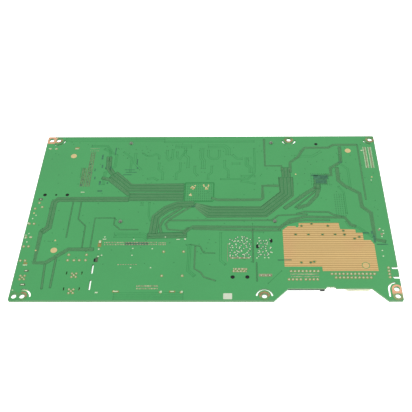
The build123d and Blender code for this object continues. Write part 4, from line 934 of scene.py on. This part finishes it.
def fields(grids):
    """Places in metres of fields of holes, on top of the board."""
    return [
        Vector(((x + i * step_x) * MM, (y + j * step_y) * MM, BOARD_TOP))
        for x, y, across, up, step_x, step_y in grids
        for i in range(across)
        for j in range(up)
    ]


def plates(name, bars, height, slot, finish="", replaced=()):
    """Flat pads with rounded edges, each from its middle and its two lengths in millimetres."""
    rounding = 0.24
    made = []
    for x, y, long_x, long_y in bars:
        low = Vector((*in_metres((x - long_x / 2, y - long_y / 2)), BOARD_TOP))
        high = Vector((*in_metres((x + long_x / 2, y + long_y / 2)), BOARD_TOP + height * MM))
        made.append(block(low, high, min(long_x, long_y, height * 2) * rounding * MM))
    handed_over(joined(made), name, slot, finish, replaced)


class BOARD_OT_tracks(bpy.types.Operator):
    """Lay the groups of fine tracks, the ground between them and the thin lines that hardly show"""

    bl_idname = "board.tracks"
    bl_label = "Tracks"
    bl_options = {"REGISTER", "UNDO"}

    def execute(self, context):
        sizes = context.scene.track_sizes
        fine, beds, faint, ends = [], [], [], []
        for width, route, mouth in run_routes():
            count = max(1, round(width / sizes.pitch))
            for i, line in enumerate(side_by_side(route, count, sizes.pitch)):
                if count > WIDE_GROUP and i % GAP_STEP == GAP_PLACE:
                    continue
                line[0] = route[0].lerp(line[0], mouth)
                fine.append(line)
                ends += [line[0], line[-1]]
            beds.append(strip([route], width + sizes.pitch * BED_RIM, sizes.bed, BOARD_TOP, "bed", mouth))
        lines = strip(fine, sizes.width, sizes.height, BOARD_TOP, "lines")
        handed_over(lines, "fine_tracks", "masked_tracks", replaced=("signal_tracks",))
        handed_over(joined(beds), "track_ground", "masked_tracks", "track_bed", ("signal_tracks",))
        for count, pitch, bends in FAINT_RUNS:
            for line in side_by_side([Vector(in_metres(place)) for place in bends], count, pitch * MM):
                faint.append(line)
                ends += [line[0], line[-1]]
        thin = strip(faint, sizes.width, sizes.bed, BOARD_TOP, "thin")
        handed_over(thin, "thin_tracks", "masked_tracks", "faint_track")
        dimple = turned([(1.25, 0), (1.1, 0.05), (0.75, 0.07), (0.4, 0.05), (0.2, 0.02)], 10, sizes.via)
        smooth(dimple, 60)
        places = [Vector((end.x, end.y, BOARD_TOP)) for end in ends] + fields(TENTED_VIAS)
        chance = random.Random(4)
        for _ in range(TOP_HOLES):
            x, y = chance.uniform(*TOP_X), chance.uniform(*TOP_Y)
            if not (x > FIELD_EDGE_X and y < FIELD_EDGE_Y):
                places.append(Vector((x, y, BOARD_TOP)))
        handed_over(copied(dimple, places), "tented_vias", "masked_tracks", "track_bed")
        return {"FINISHED"}


# ---------------------------------------------------------------- joints on the solder side


class BOARD_OT_joints(bpy.types.Operator):
    """Make the soldered pins, the small bare lands, the open holes and the clusters of small holes"""

    bl_idname = "board.joints"
    bl_label = "Joints"
    bl_options = {"REGISTER", "UNDO"}

    def soldered(self, name, pad, sizes):
        """A stained ring and a wetted cone with the pin's end in it, at each joint of a node."""
        node = name + "_joints"
        places = middles_of(node)
        pin, high = sizes.pin, sizes.joint
        wetted = [
            (pad * 0.86, 0.05 * MM),
            (pad * 0.84, high * 0.10),
            (pad * 0.62, high * 0.24),
            (pad * 0.46, high * 0.48),
        ]
        bare = [(pin * 1.15, high * 0.78), (pin, high * 0.80), (pin, high * 0.95), (pin * 0.7, high)]
        cone = turned(wetted + bare, 12, 1, 1)
        smooth(cone, 50)
        handed_over(copied(cone, places), name + "_solder", "solder", replaced=(node,))
        ring = turned([(1.42, 0), (1.38, 0.05), (0.8, 0.07)], 14, pad)
        handed_over(copied(ring, places), name + "_pads", "solder", "pad_ring", (node,))

    def clusters(self):
        """Small bright holes with dark surrounds, spread by chance and never close to each other."""
        chance = random.Random(5)
        places = []
        for (x, y), (reach_x, reach_y), count in CLUSTERS:
            for _ in range(count * CLUSTER_TRIES):
                aside, up = chance.uniform(-reach_x, reach_x), chance.uniform(-reach_y, reach_y)
                spot = Vector((x + aside, y + up)) * MM
                if all((spot - other).length > CLUSTER_SPACING * MM for other in places):
                    places.append(spot)
        places = [(spot.x, spot.y, BOARD_TOP) for spot in places]
        surround = turned([(0.95, 0), (0.92, 0.02), (0.5, 0.03)], 12)
        handed_over(copied(surround, places), "cluster_grounds", "masked_tracks", "dense_patch")
        bright = turned([(0.52, 0), (0.52, 0.07), (0.42, 0.1), (0.16, 0.1), (0.12, 0.05)], 10)
        smooth(bright)
        handed_over(copied(bright, places), "cluster_holes", "solder")

    def execute(self, context):
        sizes = context.scene.joint_sizes
        for name, pad in (("header", sizes.pad), ("socket", sizes.socket_pad), ("coax", sizes.small_pad)):
            self.soldered(name, pad, sizes)
        land = turned([(1, 0), (1, 0.07), (0.86, 0.1), (0.42, 0.1), (0.36, 0.04)], 12, sizes.test_land)
        smooth(land)
        spots = copied(land, middles_of("test_points"))
        handed_over(spots, "bare_spots", "gold_finish", "solder", ("test_points",))
        speck = turned([(0.72, 0), (0.66, 0.07), (0.2, 0.08)], 10)
        smooth(speck, 60)
        handed_over(copied(speck, on_board(GOLD_SPECKS)), "gold_specks", "gold_finish")
        rows = ("open_vias", OPEN_VIAS, "via_ring"), ("corner_vias", CORNER_VIAS, "solder")
        for name, grids, finish in rows:
            ring = turned([(0.42, 0), (0.42, 0.05), (0.36, 0.08), (0.2, 0.08), (0.16, 0.01)], 8)
            smooth(ring)
            handed_over(copied(ring, fields(grids)), name, "bare_copper", finish)
        self.clusters()
        return {"FINISHED"}


class BOARD_OT_pads(bpy.types.Operator):
    """Make the card connector's pads, the fine rows of contacts and the soldered bars"""

    bl_idname = "board.pads"
    bl_label = "Pads"
    bl_options = {"REGISTER", "UNDO"}

    def discs(self, name, spots, radius, height, slot, finish=""):
        """Low discs with a dished middle at spots of the solder side, in millimetres."""
        disc = turned([(1, 0), (1, 0.8), (0.9, 1), (0.3, 0.9)], 14, radius * MM, height * MM)
        smooth(disc, 50)
        handed_over(copied(disc, on_board(spots)), name, slot, finish)

    def execute(self, context):
        bars, rows, narrower = [], [], 0.72
        for low, high in solids_of("card_joints"):
            middle, reach = (low + high) / 2 / MM, (high - low) / MM
            bars.append((middle.x, middle.y, reach.x * narrower, reach.y))
        for x, y, count, step, long_x, long_y in FINE_CONTACTS:
            rows += [(x + i * step, y, long_x, long_y) for i in range(count)]
        plates("card_pads", bars, 0.1, "solder", "card_pad", ("card_joints",))
        plates("fine_contacts", rows, 0.08, "solder", "card_pad")
        plates("brown_pads", BROWN_PADS, 0.06, "solder", "pad_ring")
        # Painted shadow round the tabs in the slots
        plates("dark_pads", PAD_SHADOWS, 0.06, "solder", "pad_shadow")
        plates("chip_ground", CHIP_GROUND, 0.03, "masked_tracks", "faint_track")
        plates("dark_patches", DARK_PATCHES, 0.07, "masked_tracks", "dense_patch")
        plates("field_slit", FIELD_SLIT, 0.13, "masked_tracks", "dense_patch")
        plates("row_stains", STAINS, 0.04, "solder", "stain")
        plates("frame_lines", FRAME_LINES, 0.05, "masked_tracks", "stain")
        plates("solder_bars", SOLDER_BARS, 0.3, "solder")
        # Brown rings of painted shade round the holes of the copper field
        self.discs("field_rings", FIELD_VIAS, 1.45, 0.13, "masked_tracks", "field_hole_shade")
        self.discs("field_holes", FIELD_VIAS, 0.8, 0.15, "masked_tracks", "dense_patch")
        self.discs("locating_peg", PEG_HOLE, 1.5, 0.06, "black_plastic")
        x, y = LAND_MIDDLE
        around = [math.radians(degrees) for degrees in LAND_ANGLES]
        vias = [(x + LAND_REACH * math.cos(turn), y + LAND_REACH * math.sin(turn)) for turn in around]
        self.discs("land_vias", vias, 0.6, 0.12, "bare_copper", "pad_ring")
        return {"FINISHED"}


def wound(low, high, radius, wire, turns):
    """A coil of round wire about Z from one level to another."""
    steps = 16
    coil = bpy.data.curves.new("coil", "CURVE")
    coil.dimensions = "3D"
    coil.bevel_depth = wire / 2
    coil.bevel_resolution = 2
    coil.use_fill_caps = True
    places = []
    for i in range(turns * steps + 1):
        turn = i / steps * math.tau
        height = low + (high - low) * i / (turns * steps)
        places.append((radius * math.cos(turn), radius * math.sin(turn), height))
    drawn(coil, places)
    return as_mesh("coil", coil)


class BOARD_OT_push_pins(bpy.types.Operator):
    """Make the heads and the split, barbed ends of the push pins, and the springs on their stems"""

    bl_idname = "board.push_pins"
    bl_label = "Push pins"
    bl_options = {"REGISTER", "UNDO"}

    def half_barb(self, tip, side):
        """One half of the barbed end, cut flat where the two halves face each other."""
        half_slit = 0.22 * MM
        steps = [(1.15, -1.7), (1.15, 0), (1.55, 0.1), (1.5, 0.45), (0.75, tip - 0.25), (0.45, tip)]
        barb = turned(steps, 20)
        cut_off(barb, side * half_slit, side)
        barb.location.z = BOARD_TOP
        return barb

    def execute(self, context):
        places = middles_of("push_pins", 0)
        low, high = solids_of("push_pins")[0]
        head, foot, tip = (high.x - low.x) / 2 / MM, low.z / MM, (high.z - BOARD_TOP) / MM
        top, under = BOARD_TOP / MM, BOARD_UNDER / MM
        cap = [(head * 0.55, foot), (head * 0.9, foot + 0.1), (head, foot + 0.35), (head, foot + 1.0)]
        neck = [(head * 0.86, foot + 1.3), (1.5, foot + 1.4), (1.5, under - 0.1)]
        shank = [(1.15, under), (1.15, top - 1.2)]
        stem = turned(cap + neck + shank, 24)
        whole = joined([stem, self.half_barb(tip, -1), self.half_barb(tip, 1)])
        smooth(whole)
        handed_over(copied(whole, places), "barbed_pins", "nylon", replaced=("push_pins",))
        low, high = solids_of("pin_springs")[0]
        wire, turns = 0.5 * MM, 5
        coil = wound(low.z + wire / 2, high.z - wire / 2, (high.x - low.x - wire) / 2, wire, turns)
        smooth(coil, 60)
        handed_over(copied(coil, places), "coil_springs", "spring_steel", replaced=("pin_springs",))
        return {"FINISHED"}


# ---------------------------------------------------------------- parts under the board

# How far the edges of each moulded, pressed or folded part are rounded, in millimetres
EDGE_ROUNDING = {
    "amplifier_chip": 0.12, "audio_jack": 0.3, "capacitor_bases": 0.25, "card_cover": 0.1,
    "card_guides": 0.2, "card_header": 0.25, "choke_core": 0.3, "crystals": 0.25,
    "display_connector": 0.2, "filter_block": 0.35, "flash_chip": 0.1, "heat_sink": 0.2,
    "main_processor": 0.2, "media_shells": 0.15, "media_tongues": 0.15, "memory_chips": 0.12,
    "network_housing": 0.2, "network_shield": 0.12, "panel_connector": 0.2, "panel_processor": 0.12,
    "power_coils": 0.3, "power_header": 0.15, "power_switches": 0.12, "receiver_can": 0.25,
    "receiver_connector": 0.2, "screening_can": 0.25, "service_connector": 0.2,
    "side_coax_socket": 0.12, "side_header": 0.15, "signal_header": 0.15, "small_chips": 0.12,
    "thermal_pads": 0.15, "upright_coax_sockets": 0.12,
}
CHIPS = ("amplifier_chip", "flash_chip", "main_processor", "memory_chips", "panel_processor", "small_chips")
# Leads of the chips: name, node, how many on each side along X and Y, their pitch, width, reach and drop
CHIP_LEADS = (
    ("flash_feet", "flash_chip", 0, 22, 0.5, 0.22, 0.8, 0.45),
    ("amplifier_feet", "amplifier_chip", 9, 9, 0.85, 0.35, 1.0, 0.5),
    ("small_feet", "small_chips", 4, 0, 1.15, 0.42, 1.0, 0.6),
    ("switch_feet", "power_switches", 4, 0, 1.2, 0.5, 0.8, 0.4),
)
# Parts with a printed outline round them
INKED = CHIPS + (
    "power_coils", "power_switches", "capacitor_bases", "crystals", "panel_connector", "service_connector",
    "display_connector", "power_header", "signal_header", "receiver_connector",
)
# Groups of tracks on the part side, as those of the solder side but all from the middle
UNDER_RUNS = [
    (5.0, [(78, 35), (68, 35), (62, 29), (62, 4), (56, -2)]),
    (3.2, [(97, 44), (97, 58), (104, 65), (134, 65)]),
    (3.2, [(106, 35), (118, 35), (124, 29), (124, -22)]),
    (2.4, [(111, 21), (111, 26), (106, 31)]),
    (4.4, [(-79, 48), (-98, 48)]),
    (3.0, [(-79, 36), (-90, 36), (-98, 30)]),
    (2.4, [(-79, 18), (-110, 18), (-114, 14), (-114, -10)]),
    (3.0, [(-62, -18), (-62, -28)]),
    (2.0, [(-30, -18), (-30, -29)]),
    (4.0, [(8, -18), (8, -30), (14, -36), (14, -70), (8, -76)]),
    (2.0, [(-8, -18), (-8, -76), (-14, -82)]),
    (2.4, [(62, -58), (56, -64), (56, -76)]),
    (2.4, [(120, -22), (120, -58)]),
    (1.4, [(136, 44), (136, 10), (130, 4), (130, -20)]),
    (2.0, [(-132, -5), (-126, -5), (-122, -9)]),
    (1.4, [(-134, -20), (-128, -20), (-124, -24)]),
    (1.4, [(-134, -45), (-126, -45), (-120, -39)]),
    (1.0, [(-94, -64), (-91, -61), (-91, -34)]),
]


class BOARD_OT_bodies(bpy.types.Operator):
    """Round the edges of every moulded, pressed and folded part"""

    bl_idname = "board.bodies"
    bl_label = "Bodies"
    bl_options = {"REGISTER", "UNDO"}

    def execute(self, context):
        for node, width in EDGE_ROUNDING.items():
            handed_over(softened(node, width * MM), node + "_body", slot_of(node), replaced=(node,))
        return {"FINISHED"}


def gull_wing(width, thickness, reach, drop):
    """A flat lead that leaves a body along X, slopes up to the board and ends in a foot."""
    top, slope, foot = 0.32, 0.2, 0.48
    to_object_mode()
    bpy.ops.mesh.primitive_plane_add(size=1, rotation=(0, math.radians(90), 0), scale=(1, 1, 1))
    lead = bpy.context.object
    place_in_mesh(lead)
    edit(lead)
    bpy.ops.transform.resize(value=(1, width, thickness), center_override=(0, 0, 0))
    for step in ((reach * top, 0, 0), (reach * slope, 0, drop), (reach * foot, 0, 0)):
        bpy.ops.mesh.extrude_region_move(TRANSFORM_OT_translate={"value": step})
    face_outwards()
    return lead


def rim_leads(node, along_x, along_y, pitch):
    """Places and turns of the leads of each body of a node: how many on each side along X and along Y."""
    leads = []
    for low, high in solids_of(node):
        middle = (low + high) / 2
        for aside in spread(along_x, pitch):
            leads += [((middle.x + aside, low.y), -math.pi / 2), ((middle.x + aside, high.y), math.pi / 2)]
        for aside in spread(along_y, pitch):
            leads += [((low.x, middle.y + aside), math.pi), ((high.x, middle.y + aside), 0.0)]
    return leads


class BOARD_OT_chips(bpy.types.Operator):
    """Make the bent leads of the chips and connectors and the mark of each first pin"""

    bl_idname = "board.chips"
    bl_label = "Chips"
    bl_options = {"REGISTER", "UNDO"}

    def feet(self, name, leads, width, reach, drop, replaced=()):
        """Leads of one size, in millimetres, with their feet on the board."""
        thickness = 0.16
        lead = gull_wing(width * MM, thickness * MM, reach * MM, drop * MM)
        level = BOARD_UNDER - (thickness / 2 + drop) * MM
        piece = copied(lead, [(x, y, level) for (x, y), _ in leads], [turn for _, turn in leads])
        handed_over(piece, name, "tinned_metal", replaced=replaced)

    def execute(self, context):
        panel = rim_leads("panel_processor", 16, 16, 0.8 * MM)
        self.feet("panel_feet", panel, 0.3, 1.2, 0.6, ("panel_processor_leads",))
        display = solids_of("display_connector_leads")
        reach = (display[0][1].x - display[0][0].x) / MM
        side = [((high.x, (low.y + high.y) / 2), math.pi) for low, high in display]
        self.feet("display_feet", side, 0.4, reach, 0.3, ("display_connector_leads",))
        for name, node, along_x, along_y, pitch, width, reach, drop in CHIP_LEADS:
            self.feet(name, rim_leads(node, along_x, along_y, pitch * MM), width, reach, drop)
        marks, share = [], 0.16
        for node in CHIPS:
            for low, high in solids_of(node):
                inset = min(high.x - low.x, high.y - low.y) * share
                marks.append((low.x + inset, high.y - inset, low.z))
        mark = turned([(0.5, 0.02), (0.5, -0.015), (0.4, -0.02), (0.3, -0.01)], 16)
        smooth(mark)
        handed_over(copied(mark, marks), "pin_marks", "chip_body", "chip_mark")
        return {"FINISHED"}


class BOARD_OT_capacitors(bpy.types.Operator):
    """Make the beaded cans with their printed marks, and the plated ends of the small blocks"""

    bl_idname = "board.capacitors"
    bl_label = "Capacitors"
    bl_options = {"REGISTER", "UNDO"}

    def cans(self):
        """The cans, drawn in round their feet, with a bead round their tops and a mark on them."""
        low, high = solids_of("can_capacitors")[0]
        wide, foot, top = (high.x - low.x) / 2, high.z / MM, low.z / MM
        places = middles_of("can_capacitors", 0)
        base = [(0.94, foot), (0.96, foot - 0.5), (1, foot - 0.8), (1, foot - 1.3)]
        waist = [(0.95, foot - 1.6), (0.95, foot - 1.9), (1, foot - 2.2)]
        bead = [(1, top + 0.6), (0.97, top + 0.2), (0.9, top), (0.84, top + 0.05), (0.8, top + 0.25)]
        can = turned(base + waist + bead, 32, wide)
        smooth(can)
        handed_over(copied(can, places), "beaded_cans", "can_aluminium", replaced=("can_capacitors",))
        mark = turned([(0.78, top + 0.25), (0.77, top + 0.22)], 32, wide)
        cut_off(mark, wide * 0.2, 1)
        handed_over(copied(mark, places), "can_marks", "black_plastic")

    def ends(self, name, node, share):
        """Plated ends and soldered pads of the small blocks of a node, each a share of their length."""
        ends, pads = [], []
        skin = Vector((0.03, 0.03, 0.03)) * MM
        overhang, pad_height, seat = 0.35 * MM, 0.12 * MM, 0.02 * MM
        end_rounding, pad_rounding = 0.08 * MM, 0.03 * MM
        for low, high in solids_of(node):
            axis = 0 if high.x - low.x > high.y - low.y else 1
            reach = (high[axis] - low[axis]) * share
            for side in (-1, 1):
                near, far = low - skin, high + skin
                if side < 0:
                    far[axis] = low[axis] + reach
                else:
                    near[axis] = high[axis] - reach
                far.z = BOARD_UNDER - seat
                ends.append((near.copy(), far.copy()))
                near[axis] -= overhang if side < 0 else 0
                far[axis] += overhang if side > 0 else 0
                near.z, far.z = BOARD_UNDER - pad_height, BOARD_UNDER
                pads.append((near, far))
        handed_over(blocks(ends, end_rounding), name + "_ends", "tinned_metal")
        handed_over(blocks(pads, pad_rounding), name + "_pads", "solder")

    def execute(self, context):
        self.cans()
        self.ends("ceramic", "ceramic_capacitors", 0.24)
        self.ends("resistor", "chip_resistors", 0.2)
        return {"FINISHED"}


class BOARD_OT_windings(bpy.types.Operator):
    """Make the wound wire of the choke"""

    bl_idname = "board.windings"
    bl_label = "Windings"
    bl_options = {"REGISTER", "UNDO"}

    def execute(self, context):
        ((low, high),) = solids_of("choke_winding")
        wire = 0.7 * MM
        radius, half = (high.z - low.z - wire) / 2, (high.x - low.x) / 2
        coil = wound(-half + wire / 2, half - wire / 2, radius, wire, int(2 * half / wire))
        smooth(coil, 60)
        inner = radius - wire * 0.2
        winding = joined([coil, turned([(inner, -half), (inner, half)], 24, 1, 1)])
        winding.rotation_euler = (0, math.radians(90), 0)
        winding.location = (low + high) / 2
        handed_over(winding, "wound_wire", "copper_wire", replaced=("choke_winding",))
        return {"FINISHED"}


class BOARD_OT_sockets(bpy.types.Operator):
    """Make the contacts, insulators, threads and lamps of the sockets, and the painted shade of the holes in
    the cans
    """

    bl_idname = "board.sockets"
    bl_label = "Sockets"
    bl_options = {"REGISTER", "UNDO"}

    def perforated(self, name, node, across, along):
        """Black discs over the outer face of a folded can, painted shade where its round holes are."""
        ((low, high),) = solids_of(node)
        middle, pitch = (low + high) / 2, 4.0 * MM
        hole = turned([(0.75, 0.02), (0.75, -0.02)], 14)
        columns, rows = spread(across, pitch), spread(along, pitch)
        places = [(middle.x + x, middle.y + y, low.z) for x in columns for y in rows]
        handed_over(copied(hole, places), name, "black_plastic")

    def insulators(self, node, low):
        """The cream discs round the middle contacts of the upright sockets."""
        insulator = turned([(2.1, 0), (2.1, -0.7), (1.9, -0.9), (0.8, -0.9), (0.7, -0.5)], 24)
        smooth(insulator)
        handed_over(copied(insulator, middles_of(node, low + 3.2 * MM)), "coax_insulators", "cream_plastic")

    def threads(self, node, low):
        """The threaded barrels of the upright sockets, open at their ends."""
        outer, bore, pitch, depth, mouth = 3.12, 2.15, 0.7, 0.22, low / MM
        count = 5
        steps = [(outer, mouth + 4.2)]
        for i in range(count):
            level = mouth + 3.8 - i * pitch
            steps += [(outer + depth, level), (outer + depth, level - pitch * 0.2)]
            steps += [(outer, level - pitch * 0.5), (outer, level - pitch * 0.7)]
        steps += [(outer, mouth + 0.1), (outer - 0.15, mouth - 0.05)]
        steps += [(bore + 0.1, mouth - 0.05), (bore, mouth + 0.1), (bore, mouth + 3.6)]
        barrel = turned(steps, 32)
        smooth(barrel)
        handed_over(copied(barrel, middles_of(node, 0)), "coax_threads", "plated_brass")

    def contacts(self):
        """Rows of gilded contacts in the grooves of the two board connectors."""
        half_x, half_y, pitch = 0.22 * MM, 0.18 * MM, 0.8 * MM
        sunk, root, rounding = 0.25 * MM, 2.0 * MM, 0.04 * MM
        boxes = []
        for node, rows, count in (
            ("service_connector", (1.8, -1.8), 22),
            ("panel_connector", (1.4, -1.4, 2.8, -2.8), 30),
        ):
            ((low, high),) = solids_of(node)
            middle = (low + high) / 2
            for x in [middle.x + row * MM for row in rows]:
                for y in [middle.y + aside for aside in spread(count, pitch)]:
                    near = (x - half_x, y - half_y, low.z + sunk)
                    far = (x + half_x, y + half_y, high.z - root)
                    boxes.append((near, far))
        handed_over(blocks(boxes, rounding), "row_contacts", "contact_gold")

    def lamps(self):
        """The two lamps beside the mouth of the network jack."""
        ((near, far),) = solids_of("network_shield")
        wide, inset = 3.0 * MM, 1.0 * MM
        front, back = near.y - 0.25 * MM, near.y + 0.1 * MM
        low, high = near.z + 1.2 * MM, near.z + 3.4 * MM
        lefts = (near.x + inset, far.x - inset - wide)
        lamps = blocks([((x, front, low), (x + wide, back, high)) for x in lefts], 0.15 * MM, 2)
        handed_over(lamps, "jack_lamps", "cream_plastic")

    def execute(self, context):
        # Black discs of painted shade stand for the holes of the two cans
        self.perforated("receiver_holes", "receiver_can", 7, 10)
        self.perforated("screen_holes", "screening_can", 3, 12)
        sockets = "upright_coax_sockets"
        low = solids_of(sockets)[0][0].z
        self.insulators(sockets, low)
        self.threads(sockets, low)
        self.contacts()
        self.lamps()
        return {"FINISHED"}


class BOARD_OT_part_side(bpy.types.Operator):
    """Lay the tracks, the small plated holes and the printed outlines of the part side"""

    bl_idname = "board.part_side"
    bl_label = "Part side"
    bl_options = {"REGISTER", "UNDO"}

    def tracks(self, sizes):
        """Groups of tracks on their ground, with small holes at their ends and spread by chance."""
        fine, beds, ends = [], [], []
        for width, bends in UNDER_RUNS:
            route = [Vector(in_metres(place)) for place in bends]
            for line in side_by_side(route, max(1, round(width * MM / sizes.pitch)), sizes.pitch):
                fine.append(line)
                ends += [line[0], line[-1]]
            bed_width = width * MM + sizes.pitch * BED_RIM
            beds.append(strip([route], bed_width, sizes.bed, BOARD_UNDER - sizes.bed, "bed"))
        lines = strip(fine, sizes.width, sizes.height, BOARD_UNDER - sizes.height, "lines")
        handed_over(lines, "part_side_tracks", "masked_tracks")
        handed_over(joined(beds), "part_side_ground", "masked_tracks", "track_bed")
        dimple = turned([(1.25, 0), (1.1, -0.05), (0.6, -0.06), (0.3, -0.02)], 10, sizes.via)
        smooth(dimple, 60)
        chance = random.Random(11)
        places = [(end.x, end.y, BOARD_UNDER) for end in ends]
        for _ in range(UNDER_HOLES):
            places.append((chance.uniform(*UNDER_X), chance.uniform(*UNDER_Y), BOARD_UNDER))
        handed_over(copied(dimple, places), "part_side_vias", "masked_tracks", "track_bed")

    def execute(self, context):
        self.tracks(context.scene.track_sizes)
        gap, line, ink_height = 0.7 * MM, 0.18 * MM, 0.02 * MM
        outlines = []
        for node in INKED:
            for low, high in solids_of(node):
                left, right, front, back = low.x - gap, high.x + gap, low.y - gap, high.y + gap
                corners = ((left, front), (right, front), (right, back), (left, back), (left, front))
                outlines.append([Vector(corner) for corner in corners])
        ink = strip(outlines, line, ink_height, BOARD_UNDER - ink_height, "ink")
        handed_over(ink, "ink_outlines", "white_ink")
        return {"FINISHED"}


# ---------------------------------------------------------------- stage


class BOARD_OT_stage(bpy.types.Operator):
    """Set the pale floor, the even light, the soft lamps and the camera"""

    bl_idname = "board.stage"
    bl_label = "Stage"
    bl_options = {"REGISTER", "UNDO"}

    def floor(self):
        """A wide, flat, faintly glowing sheet under the object, its side in metres."""
        side = 6
        to_object_mode()
        bpy.ops.mesh.primitive_plane_add(size=side, location=(0, 0, 0))
        sheet = bpy.context.object
        place_in_mesh(sheet)
        edit(sheet)
        bpy.ops.mesh.subdivide(number_cuts=8)
        to_object_mode()
        sheet.name = "floor"
        glow = {"Emission Color": (1, 1, 1, 1), "Emission Strength": 0.95}
        white = (0.93, 0.93, 0.93)
        paper = plain_finish("floor_paper", white, 0.004, 3, (0.8, 0.9), (200, 0.05, 0.05), **glow)
        sheet.data.materials.append(paper)

    def lamp(self, name, place, power):
        """A square soft lamp that faces the board, its side in metres."""
        side = 1.2
        light = bpy.data.lights.new(name, "AREA")
        light.shape = "SQUARE"
        light.size = side
        light.energy = power
        lamp = in_scene(name, light)
        lamp.location = place
        lamp.rotation_euler = (-Vector(place)).to_track_quat("-Z", "Y").to_euler()

    def camera(self, stage):
        """The camera, turned to the right by yaw, down by pitch and about its view by roll."""
        ahead = Vector((math.sin(stage.yaw), math.cos(stage.yaw), 0))
        forward = ahead * math.cos(stage.pitch) - Vector((0, 0, math.sin(stage.pitch)))
        level = Vector((math.cos(stage.yaw), -math.sin(stage.yaw), 0))
        upward = level.cross(forward)
        across = math.cos(stage.roll) * level + math.sin(stage.roll) * upward
        upright = math.cos(stage.roll) * upward - math.sin(stage.roll) * level
        lens = bpy.data.cameras.new("camera")
        lens.angle = stage.field
        lens.shift_x = stage.shift
        lens.clip_start = 0.01
        camera = in_scene("camera", lens)
        turn = Matrix((across, upright, -forward)).transposed().to_4x4()
        camera.matrix_world = Matrix.Translation(stage.camera) @ turn
        bpy.context.scene.camera = camera

    def execute(self, context):
        stage = context.scene.stage_settings
        self.floor()
        self.lamp("lamp_left", (-0.9, -0.5, 1.3), stage.lamp)
        self.lamp("lamp_right", (0.9, 0.2, 1.4), stage.lamp * 0.8)
        world = bpy.data.worlds.new("studio")
        world.use_nodes = True
        sky = world.node_tree.nodes["Background"]
        sky.inputs["Color"].default_value = (1, 1, 1, 1)
        sky.inputs["Strength"].default_value = stage.sky
        context.scene.world = world
        context.scene.view_settings.view_transform = "Standard"
        self.camera(stage)
        return {"FINISHED"}


# ---------------------------------------------------------------- panel and start


GROUPS = {
    "board_colours": BoardColours,
    "part_colours": PartColours,
    "track_sizes": TrackSizes,
    "joint_sizes": JointSizes,
    "stage_settings": StageSettings,
}
STEPS = (
    BOARD_OT_finishes,
    BOARD_OT_tracks,
    BOARD_OT_joints,
    BOARD_OT_pads,
    BOARD_OT_push_pins,
    BOARD_OT_bodies,
    BOARD_OT_chips,
    BOARD_OT_capacitors,
    BOARD_OT_windings,
    BOARD_OT_sockets,
    BOARD_OT_part_side,
    BOARD_OT_stage,
)


class BOARD_PT_dressing(bpy.types.Panel):
    """Lists the sizes, colours and steps of the board"""

    bl_label = "Board dressing"
    bl_idname = "BOARD_PT_dressing"
    bl_space_type = "VIEW_3D"
    bl_region_type = "UI"
    bl_category = "Board"

    def draw(self, context):
        for name, group in GROUPS.items():
            box = self.layout.box()
            box.label(text=group.__doc__)
            for setting in group.__annotations__:
                box.prop(getattr(context.scene, name), setting)
        for step in STEPS:
            self.layout.operator(step.bl_idname)


def register():
    """Make the settings and the operators known, and give the scene its settings."""
    for entry in (*GROUPS.values(), *STEPS, BOARD_PT_dressing):
        bpy.utils.register_class(entry)
    for name, group in GROUPS.items():
        setattr(bpy.types.Scene, name, bpy.props.PointerProperty(type=group))


def unregister():
    """Take the settings and the operators away again."""
    for name in GROUPS:
        delattr(bpy.types.Scene, name)
    for entry in reversed((*GROUPS.values(), *STEPS, BOARD_PT_dressing)):
        bpy.utils.unregister_class(entry)


def main():
    """Run every operator in order."""
    register()
    for step in STEPS:
        group, _, call = step.bl_idname.partition(".")
        getattr(getattr(bpy.ops, group), call)()
    to_object_mode()


if __name__ == "__main__":
    main()
